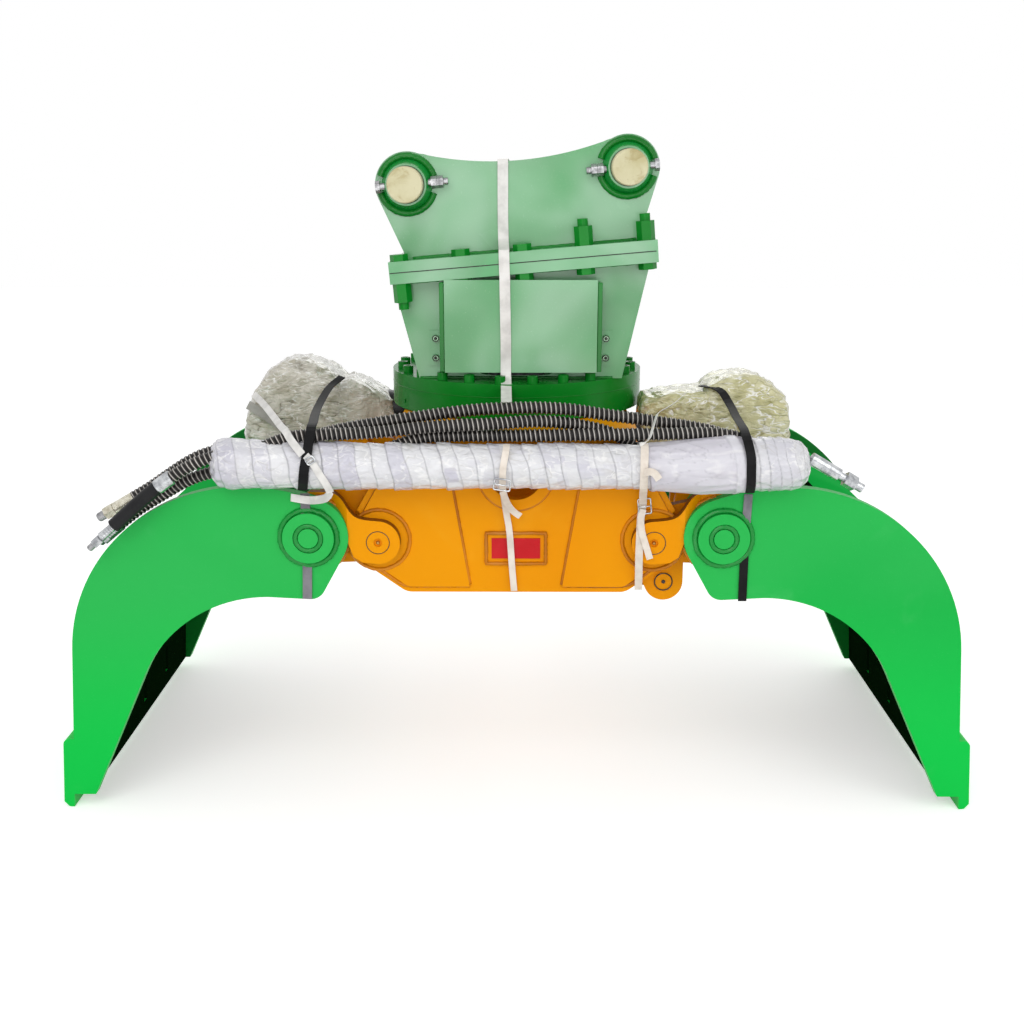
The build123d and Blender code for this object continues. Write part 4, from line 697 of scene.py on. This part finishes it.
# Each tail's fitting: its length, its size beside the others, and its material
FITTINGS = {"hose_tail_upper": (0.078, 0.62, bright_steel), "hose_tail_lower": (0.062, 1.0, bright_steel),
            "hose_tail_back": (0.095, 0.88, pale_steel)}
for hose_name, (hose, line) in hoses.items():
    length = sum((b - a).length for a, b in zip(line, line[1:]))
    extra = []
    end = "object"
    if hose_name in FITTINGS:
        end_name = hose_name.replace("hose", "end")
        extra = hose_end(end_name, line[-1], line[-1] - line[-2], *FITTINGS[hose_name])
        for piece in extra:
            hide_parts("tail_fittings")
        end = "fitting"
    tuple(line[0])
    [tuple(p) for p in line]

CUFF_FROM, COLLAR_TO, COLLAR_FROM = -0.771, -0.773, -0.740
tail_line = hoses["hose_tail_upper"][1]
cuff = tube("tail_sleeve", [p for p in tail_line if p.x <= CUFF_FROM], 0.0156, sleeve_black, sides=24)
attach(cuff, "frame")
collar_line = [p for p in tail_line if COLLAR_TO <= p.x <= COLLAR_FROM]
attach(tube("tail_collar", collar_line, 0.0164, bright_steel, sides=24), "frame")


# Cylinder ends in film: sections as x, bottom, top and half width, in millimetres

LEFT_HORN = [(-706, 762, 788, 40), (-700, 748, 806, 66), (-692, 742, 836, 80), (-669, 738, 903, 88),
             (-648, 738, 930, 92), (-629, 738, 948, 92), (-598, 738, 966, 92), (-568, 740, 973, 92),
             (-540, 742, 971, 92), (-512, 745, 963, 92), (-490, 752, 952, 92), (-471, 760, 939, 92),
             (-458, 770, 926, 92), (-446, 785, 914, 88), (-438, 805, 895, 76)]
LEFT_BARREL = [(-318, 806, 850, 40), (-322, 792, 866, 54), (-340, 782, 884, 64), (-360, 779, 895, 72),
               (-392, 778, 914, 86), (-429, 780, 925, 91), (-452, 786, 919, 91), (-463, 800, 900, 80)]
RIGHT_BARREL = [(292, 806, 890, 40), (296, 794, 912, 52), (304, 787, 925, 60), (342, 781, 934, 70),
                (390, 780, 937, 86), (413, 781, 938, 91), (437, 783, 943, 91), (456, 790, 940, 88),
                (464, 806, 920, 74)]
RIGHT_HORN = [(432, 805, 920, 72), (440, 785, 942, 86), (450, 772, 955, 92), (465, 762, 966, 92),
              (498, 750, 976, 92), (530, 745, 980, 92), (559, 743, 976, 92), (580, 743, 967, 92),
              (600, 744, 954, 92), (616, 744, 940, 92), (628, 746, 926, 90), (634, 748, 908, 86),
              (637.5, 754, 880, 78), (641, 764, 846, 66), (643, 785, 826, 46)]
LUMP_Y = 0.150
LUMP_MIDDLE = 0.855
LUMP_SIDES = 120
LUMP_STEP = 4
SQUARENESS = 2 / 5
CRUMPLE = 0.008
RING_KEEP_OUT = 0.311
RING_BOTTOM = 0.875


def lump_sections(stations):
    """Sections in metres, about a step apart, between the given ones."""
    fine = []
    for a, b in zip(stations, stations[1:]):
        count = max(2, math.floor(abs(b[0] - a[0]) / LUMP_STEP + 0.5))
        for i in range(count):
            fine.append([(p + (q - p) * i / count) / 1000 for p, q in zip(a, b)])
    fine.append([p / 1000 for p in stations[-1]])
    return fine


def crumpled(v, seed):
    """How far the film stands out at one place: broad and sharp folds, and thin creases."""
    p = v * 9 + Vector((seed, seed * 2.3, 0))
    bent = Vector((p.x * 1.1 + p.z * 0.8, p.y * 2.4, p.z * 4.8 - p.x * 2.4))
    close = Vector((v.x * 30 + v.z * 26, v.y * 50, v.z * 96 + v.x * 44 + seed))
    broad = 1 - min(1.0, 2.6 * abs(noise.noise(p * 1.5)))
    sharp = 1 - min(1.0, 2.6 * abs(noise.noise(bent)))
    thin = 1 - min(1.0, 2.4 * abs(noise.noise(close)))
    return CRUMPLE * (0.40 * broad ** 1.6 + 0.55 * sharp ** 1.6 + 0.30 * thin) - 0.0015


def wrap(name, stations, y_centre, material, seed, keep_out):
    """Film pulled round a lump, kept off the slewing ring where a radius to keep out of is given."""
    fine = lump_sections(stations)
    centre = Vector((sum(row[0] for row in fine) / len(fine), y_centre, LUMP_MIDDLE))
    verts = []
    for x, low, high, half in fine:
        middle, tall = (low + high) / 2, (high - low) / 2
        for k in range(LUMP_SIDES):
            angle = math.tau * k / LUMP_SIDES
            c, s = math.cos(angle), math.sin(angle)
            v = Vector((x, y_centre + half * math.copysign(abs(c) ** SQUARENESS, c),
                        middle + tall * math.copysign(abs(s) ** SQUARENESS, s)))
            v = v + (v - centre).normalized() * crumpled(v, seed)
            flat = Vector((v.x, v.y, 0))
            if v.z > RING_BOTTOM and flat.length < keep_out:
                flat = flat.normalized() * keep_out
                v = Vector((flat.x, flat.y, v.z))
            verts.append(v)
    return mesh_object(name, verts, skin_faces(len(fine), LUMP_SIDES), material)


for name, stations, y_centre, material, seed, body, keep_out in (
        ("left_horn_wrap", LEFT_HORN, LUMP_Y, lump_grey, 3.1, "left_jaw", 0),
        ("left_barrel_wrap", LEFT_BARREL, LUMP_Y, lump_grey, 8.7, "left_barrel", RING_KEEP_OUT),
        ("right_barrel_wrap", RIGHT_BARREL, -LUMP_Y, lump_olive, 5.2, "right_barrel", RING_KEEP_OUT),
        ("right_horn_wrap", RIGHT_HORN, -LUMP_Y, lump_olive, 1.9, "right_jaw", 0)):
    lump = wrap(name, stations, y_centre, material, seed, keep_out)
    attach(lump, body)


# Straps and ties: width, thickness and points in millimetres

strap("strap_black_left", "frame", strap_black, 21, 2.2, [
    (-443, 52, 936), (-469, 0, 916), (-477, -130, 893), (-455, -330, 905), (-441, -440, 911),
    (-439, -480, 908), (-439, -500, 894), (-441, -514, 877), (-442, -529, 861), (-448, -536, 830),
    (-452, -532, 803), (-458, -509, 776)])
strap("strap_grey_left", "left_jaw", strap_grey, 21, 2.2, [
    (-462, -461.5, 757), (-462, -462, 674), (-463, -462, 593), (-466, -462, 514)])
strap("strap_black_right", "frame", strap_black, 20, 2.2, [
    (431, -200, 954), (468, -246, 952), (485, -290, 928), (487, -380, 914), (486, -440, 911),
    (487, -482, 906), (488, -512, 896), (491, -533, 880), (495, -547, 855), (496, -548, 828),
    (498, -542, 797), (500, -520, 774)])
strap("strap_silver_right", "right_jaw", strap_grey, 19, 2.2, [
    (508, -462, 757), (507, -462, 722), (506, -462, 690)])
strap("strap_black_right_low", "right_jaw", strap_black, 19, 2.2, [
    (506, -462, 692), (505, -462, 607), (505, -462, 511)])
strap("strap_white_right", "frame", strap_cream, 17, 1.6, [
    (274, -498, 876), (274, -510, 871), (273, -523, 861), (272, -534, 842), (272, -534, 814),
    (273, -520, 783), (276, -482, 756), (280, -440, 727), (277, -434, 700), (274, -457, 672),
    (273, -457, 616), (275, -440, 568), (276, -430, 527)])
strap("strap_white_right_tail", "frame", strap_cream, 15, 1.6, [
    (281, -441, 717), (276, -447, 698), (277, -462, 673), (287, -462, 639), (297, -461, 608)], (1, 0, 0.2))
strap("strap_white_right_tab", "frame", strap_cream, 16, 1.4, [
    (271, -537, 821), (283, -545, 826), (294, -546, 821), (303, -543, 808)], (0.2, 0, 1))
strap("strap_centre_low", "frame", strap_cream, 14.5, 1.6, [
    (-20, -500, 875), (-21, -523, 865), (-27, -534, 831), (-28, -534, 803), (-28, -515, 781),
    (-27, -480, 762), (-24, -440, 727), (-20, -430, 698), (-14, -429, 658), (-9, -429, 584),
    (-4, -429, 523)])
strap("strap_centre_tail", "frame", strap_cream, 15, 1.4, [
    (-28, -508, 773), (-19, -472, 738), (-6, -452, 715), (10, -447, 702)], (1, 0, 0.5))
strap("strap_thin", "frame", strap_white, 8, 1.4, [
    (390, -242, 941), (350, -330, 931), (311, -430, 932), (302, -458, 927), (291, -494, 907),
    (285, -505, 892), (275, -509, 881), (264, -505, 876)], (0.7, -0.3, 0.7))
strap("tie_left_long", "frame", strap_white, 17, 1.8, [
    (-669, 45, 892), (-620, -60, 880), (-538, -300, 875), (-499, -470, 901), (-488, -499, 897),
    (-477, -510, 883), (-452, -531, 858)], (0.8, 0, 0.6))
strap("tie_left_middle", "frame", strap_white, 16, 1.8, [
    (-444, -537, 858), (-431, -538, 844), (-419, -538, 822), (-404, -533, 795), (-397, -520, 773)],
    (0.8, 0, 0.3))
strap("tie_left_low", "frame", strap_white, 18, 1.8, [
    (-396, -519, 776), (-409, -508, 758), (-448, -480, 746), (-492, -467, 749)], (0, 0, 1))
strap("tie_left_band", "left_jaw", tie_grey, 23, 1.8, [
    (-686, 50, 864), (-651, 46, 843), (-620, 46, 820), (-596, 46, 803)], (0.3, 0, 1))
strap("strap_centre_front", "head", strap_white, 24, 1.8, [
    (-31, 160, 1466), (-31, 60, 1466.5), (-31, -60, 1466.5), (-31, -172, 1466.5), (-31, -187.5, 1461),
    (-31, -188, 1430), (-31, -188, 1340), (-30, -192, 1290), (-28, -246, 1270), (-28, -253, 1262),
    (-27, -254, 1220), (-26, -258, 1203), (-26, -258, 1180), (-24, -258, 1060), (-24, -259, 994),
    (-23, -283, 976), (-22, -350, 958), (-21, -398, 948)], step=10)
strap("strap_centre_rear", "head", strap_white, 24, 1.8, [
    (-31, 160, 1466), (-31, 178, 1466), (-31, 187.5, 1460), (-31, 188, 1430), (-31, 188, 1300),
    (-31, 196, 1280), (-30, 247, 1270), (-30, 253, 1262), (-30, 253, 1212), (-30, 240, 1196),
    (-30, 210, 1150), (-30, 208, 1000), (-30, 210, 976), (-30, 300, 975), (-30, 308.5, 968),
    (-30, 309, 896), (-30, 300, 888.5)], step=10)


def wire_buckle(name, centre, width, height, tilt):
    """Bent wire buckle with a cross bar, turned by the tilt in degrees."""
    corner = 0.003
    turn = Matrix.Rotation(math.radians(tilt), 3, "Y")
    points = []
    for index, (a, b) in enumerate(((-1, -1), (1, -1), (1, 1), (-1, 1))):
        x, z = a * (width / 2 - corner), b * (height / 2 - corner)
        for k in range(5):
            t = math.radians(180 + 90 * index + 22.5 * k)
            bend = Vector((x + corner * math.cos(t), 0, z + corner * math.sin(t)))
            points.append(Vector(centre) + turn @ bend)
    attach(tube(name, points, 0.0019, bright_steel, sides=8, closed=True), "frame")
    bar_points = ((-width / 2, -0.001), (0, -0.004), (width / 2, -0.001))
    bar = [Vector(centre) + turn @ Vector((x, y, 0)) for x, y in bar_points]
    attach(tube(name + "_bar", smooth_path(bar, 0.003), 0.0017, bright_steel, sides=8), "frame")


wire_buckle("buckle_centre", (-0.029, -0.537, 0.795), 0.035, 0.024, 8)
wire_buckle("buckle_right", (0.284, -0.442, 0.724), 0.028, 0.034, -6)
wire_buckle("clip_left", (-0.434, -0.541, 0.848), 0.018, 0.014, -30)


# Weld beads and marks on the head

FLANGE_TILT = math.radians(4.8)
FLANGE_MIDDLE = (0.0155, 1.241)
FLANGE_HALF = 0.0258
BOSS_WELD_R, BOSS_BEAD = 0.0625, 0.0085


def flange_z(x, above=0.0):
    """Height of the tilted flange joint, or of a face that far above it."""
    x_middle, z_middle = FLANGE_MIDDLE
    return z_middle + (x - x_middle) * math.tan(FLANGE_TILT) + above / math.cos(FLANGE_TILT)


for name, (x, z) in HITCH_PINS.items():
    for part, start in (("low", 197), ("top", 17)):
        arc = circle((x, -EAR_FACE, z), BOSS_WELD_R, start=start, end=start + 146)
        bead(f"boss_weld_{name}_{part}", arc, BOSS_BEAD, bead_green, "head", lumpy=0.12)
    bead(f"boss_weld_{name}_rear", circle((x, EAR_FACE, z), BOSS_WELD_R), BOSS_BEAD, bead_green, "head",
         closed=True, lumpy=0.12)
    mark(f"pin_shadow_{name}", (x, -PIN_FACE, z), 0.0405, 0.0012, "head")
    mark(f"pin_centre_{name}", (x, -PIN_FACE - 0.0028, z), 0.0021, 0.0024, "head")

for face, y in FACES:
    for what, left, right, out, height, thick in (
            ("ear_weld", -238, 276, EAR_FACE + 0.0003, lambda x: flange_z(x, FLANGE_HALF), 0.0040),
            ("bracket_weld", -276, 300, BRACKET_FACE, lambda x: flange_z(x, -FLANGE_HALF), 0.0038),
            ("foot_seam", -224, 232, BRACKET_FACE, lambda x: BASE_TOP, 0.0038)):
        seam = [Vector((x / 1000, y * out, height(x / 1000))) for x in range(left, right, 8)]
        bead(f"{what}_{face}", seam, thick, bead_green, "head", lumpy=0.3)

joint = [Vector((x / 1000, -0.2506, flange_z(x / 1000))) for x in range(-286, 318, 8)]
bead("flange_joint", joint, 0.0010, black_bolt, "head", lumpy=0)
mark("ring_line", (0, 0, 0.9418), RING_RADIUS, 0.0008, "head", bead_green, axis="Z", count=160)

for name, edge_x, screw_x in (("left", -170, -0.187), ("right", 190, 0.207)):
    strap("cover_edge_" + name, "head", bead_green, 10.5, 4, [
        (edge_x, -247.5, 993), (edge_x, -247.5, 1094.5), (edge_x, -247.5, 1196)], step=50)
    for level, z in (("low", 1.0205), ("top", 1.0655)):
        mark(f"screw_ring_{name}_{level}", (screw_x, -0.2178, z), 0.0068, 0.0010, "head")
        mark(f"screw_centre_{name}_{level}", (screw_x, -0.2178, z), 0.0018, 0.0018, "head")


# Weld beads and marks on the jaws: what, centre, face, radius, bead, material, arc on the right, lumps

JAW_RINGS = (
    ("tube_weld", CROSS_TUBE, 0.4585, 0.0625, 0.0068, jaw_bead, None, 0.3),
    ("core_weld", CROSS_TUBE, 0.4655, 0.0282, 0.0058, jaw_bead, None, 0.2),
    ("root_weld", CROSS_TUBE, 0.4325, 0.0885, 0.0045, orange_deep, (100, 232), 0.4),
    ("hub_ring", JAW_PIVOT, 0.4522, 0.0255, 0.0009, black_bolt, None, 0),
    ("pad_weld", JAW_PIVOT, 0.4262, 0.0690, 0.0045, orange_deep, None, 0.3),
)
NIPPLE_FACE, NIPPLE_TIP = 0.4505, 0.456


def nipple_radius(travelled, angle):
    return 0.0046 - 0.0030 * min(1, travelled / 0.0055) ** 2, 0


for side, sign in SIDES:
    for face, y in FACES:
        for what, (x, z), face_y, radius, thick, material, arc, lumps in JAW_RINGS:
            start, end = arc or (0, 360)
            if arc and sign < 0:
                start, end = 180 - end, 180 - start
            ring = circle((sign * x, y * face_y, z), radius, start=start, end=end)
            body = "frame" if what == "pad_weld" else f"{side}_jaw"
            bead(f"{side}_{what}_{face}", ring, thick, material, body, closed=not arc, lumpy=lumps)
        x, z = JAW_PIVOT
        nipple = smooth_path([(sign * x, y * NIPPLE_FACE, z), (sign * x, y * NIPPLE_TIP, z)], 0.001)
        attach(tube(f"{side}_grease_{face}", nipple, nipple_radius, bronze), f"{side}_jaw")

mark("low_lug_ring", LOW_LUG, 0.0200, 0.0014, "right_jaw")
mark("low_lug_centre", LOW_LUG, 0.0022, 0.0024, "right_jaw")


# Weld beads on the frame's plates: what, x and z in millimetres, step, bead, lumps

PLATE_WELDS = (
    ("rib_weld", ((156, 845), (129, 690), (104, 536)), 0.008, 0.0042, 0.25),
    ("foot_weld", ((104, 533.5), (175, 532.5), (238, 532.5)), 0.008, 0.0042, 0.35),
    ("slope_weld", ((238, 532.5), (262, 539.5), (300, 568), (318, 583)), 0.006, 0.0042, 0.35),
    ("side_weld", ((338, 704), (262, 842)), 0.008, 0.0040, 0.25),
)
for face, y in FACES:
    for side, sign in SIDES:
        for what, corners, step, thick, lumps in PLATE_WELDS:
            edge = smooth_path([(sign * x / 1000, y * FRAME_FACE, z / 1000) for x, z in corners], step)
            bead(f"{what}_{side}_{face}", edge, thick, orange_deep, "frame", lumpy=lumps)
    access = circle((0, y * FRAME_FACE, 0.794), 0.0840, start=-200, end=20)
    bead(f"access_weld_{face}", access, 0.0040, orange_deep, "frame", lumpy=0.25)

SIGN_HALF, SIGN_LOW, SIGN_HIGH, SIGN_STEPS = 0.0665, 0.5855, 0.6565, 16
sign_corners = [Vector((x, -0.4225, z)) for x, z in ((-SIGN_HALF, SIGN_LOW), (SIGN_HALF, SIGN_LOW),
                                                     (SIGN_HALF, SIGN_HIGH), (-SIGN_HALF, SIGN_HIGH))]
outline = [a.lerp(b, i / SIGN_STEPS)
           for a, b in zip(sign_corners, sign_corners[1:] + sign_corners[:1]) for i in range(SIGN_STEPS)]
bead("sign_weld", outline, 0.0040, orange_deep, "frame", closed=True, lumpy=0.35)


# Finishes of the CAD pieces

FINISHES = (
    (orange, "frame_front_plate frame_rear_plate frame_top_plate frame_ribs cylinder_base sync_link "
             "left_horn_plates right_horn_plates left_pivot_pins right_pivot_pins "
             "sync_pin_left sync_pin_right"),
    (orange_root, "left_root_plates right_root_plates"),
    (jaw_green, "left_tine_plates right_tine_plates left_cross_tube right_cross_tube left_cutting_lip "
                "right_cutting_lip"),
    (skin_green["left"], "left_skin_plate"),
    (skin_green["right"], "right_skin_plate"),
    (head_green, "upper_bracket pin_bosses lower_bracket motor_cover"),
    (flange_green, "upper_flange lower_flange"),
    (ring_green, "flange_bolts base_plate ring_bolts slew_outer_ring"),
    (sign_red, "name_plate"),
    (pin_cream, "stick_pin link_pin"),
    (machined, "slew_inner_ring pin_retainers swivel_core slew_pinion"),
    (black_bolt, "inner_ring_bolts"),
    (screw_pale, "cover_screws"),
    (bright_steel, "tail_fittings roll_fitting"),
    (bronze, "pivot_bushes"),
    (cast_dark, "swivel_housing slew_motor"),
    (chrome, "left_cylinder_rod right_cylinder_rod"),
    (black_paint, "left_cylinder_barrel right_cylinder_barrel left_cylinder_gland right_cylinder_gland"),
)
for material, names in FINISHES:
    for name in names.split():
        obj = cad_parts[name]
        if obj.material_slots:
            for material_slot in obj.material_slots:
                material_slot.material = material
        else:
            obj.data.materials.append(material)


# Floor, backdrop and light

def studio_white():
    """White to the eye and in reflections, with the object's shadow kept on the floor."""
    g = material_graph("floor_white")
    tone = g.ramp(g.noise(0.6, 2.0), 0.3, 0.7)
    g.finish(g.mix(tone, (0.93, 0.93, 0.93), (0.915, 0.915, 0.92)), 0.9, specular=0.1)
    g.feed((1, 1, 1), g.shader.inputs["Emission Color"])
    g.feed(g.times(g.seen(), 0.42), g.shader.inputs["Emission Strength"])
    return g.owner


def studio_world():
    """White where it is seen, and weaker as a light on the object."""
    g = Graph(bpy.data.worlds.new("studio"))
    light = g.tree.nodes["Background"]
    backdrop = g.new("Background")
    for node, strength in ((light, 0.62), (backdrop, 1.0)):
        g.feed((1, 1, 1), node.inputs["Color"])
        g.feed(strength, node.inputs["Strength"])
    blend = g.new("MixShader")
    for index, output in enumerate((g.seen(), light.outputs[0], backdrop.outputs[0])):
        g.feed(output, blend.inputs[index])
    g.feed(blend.outputs[0], g.tree.nodes["World Output"].inputs["Surface"])
    return g.owner


def lamp(name, place, target, size, power, size_y=None):
    data = bpy.data.lights.new(name, "AREA")
    data.shape = "RECTANGLE"
    data.size = size
    data.size_y = size_y or size
    data.energy = power
    obj = bpy.data.objects.new(name, data)
    scene.collection.objects.link(obj)
    obj.location = place
    obj.rotation_euler = (Vector(target) - Vector(place)).to_track_quat("-Z", "Y").to_euler()


FLOOR = 14
floor_corners = [(-FLOOR, -FLOOR, 0), (FLOOR, -FLOOR, 0), (FLOOR, FLOOR, 0), (-FLOOR, FLOOR, 0)]
floor = mesh_object("floor", floor_corners, [(0, 1, 2, 3)], studio_white(), smooth=False)
floor.location.z = -0.0005
scene.world = studio_world()
lamp("key", (-1.2, -3.4, 3.4), (0, 0, 0.8), 2.6, 45)
lamp("fill", (2.6, -2.8, 2.2), (0, 0, 0.8), 2.2, 22)
lamp("back", (0.4, 3.0, 3.0), (0, 0, 0.9), 2.4, 26)
lamp("front", (0.0, -3.4, 1.06), (0, 0, 1.06), 1.5, 12, 1.15)

scene.view_settings.view_transform = "Standard"
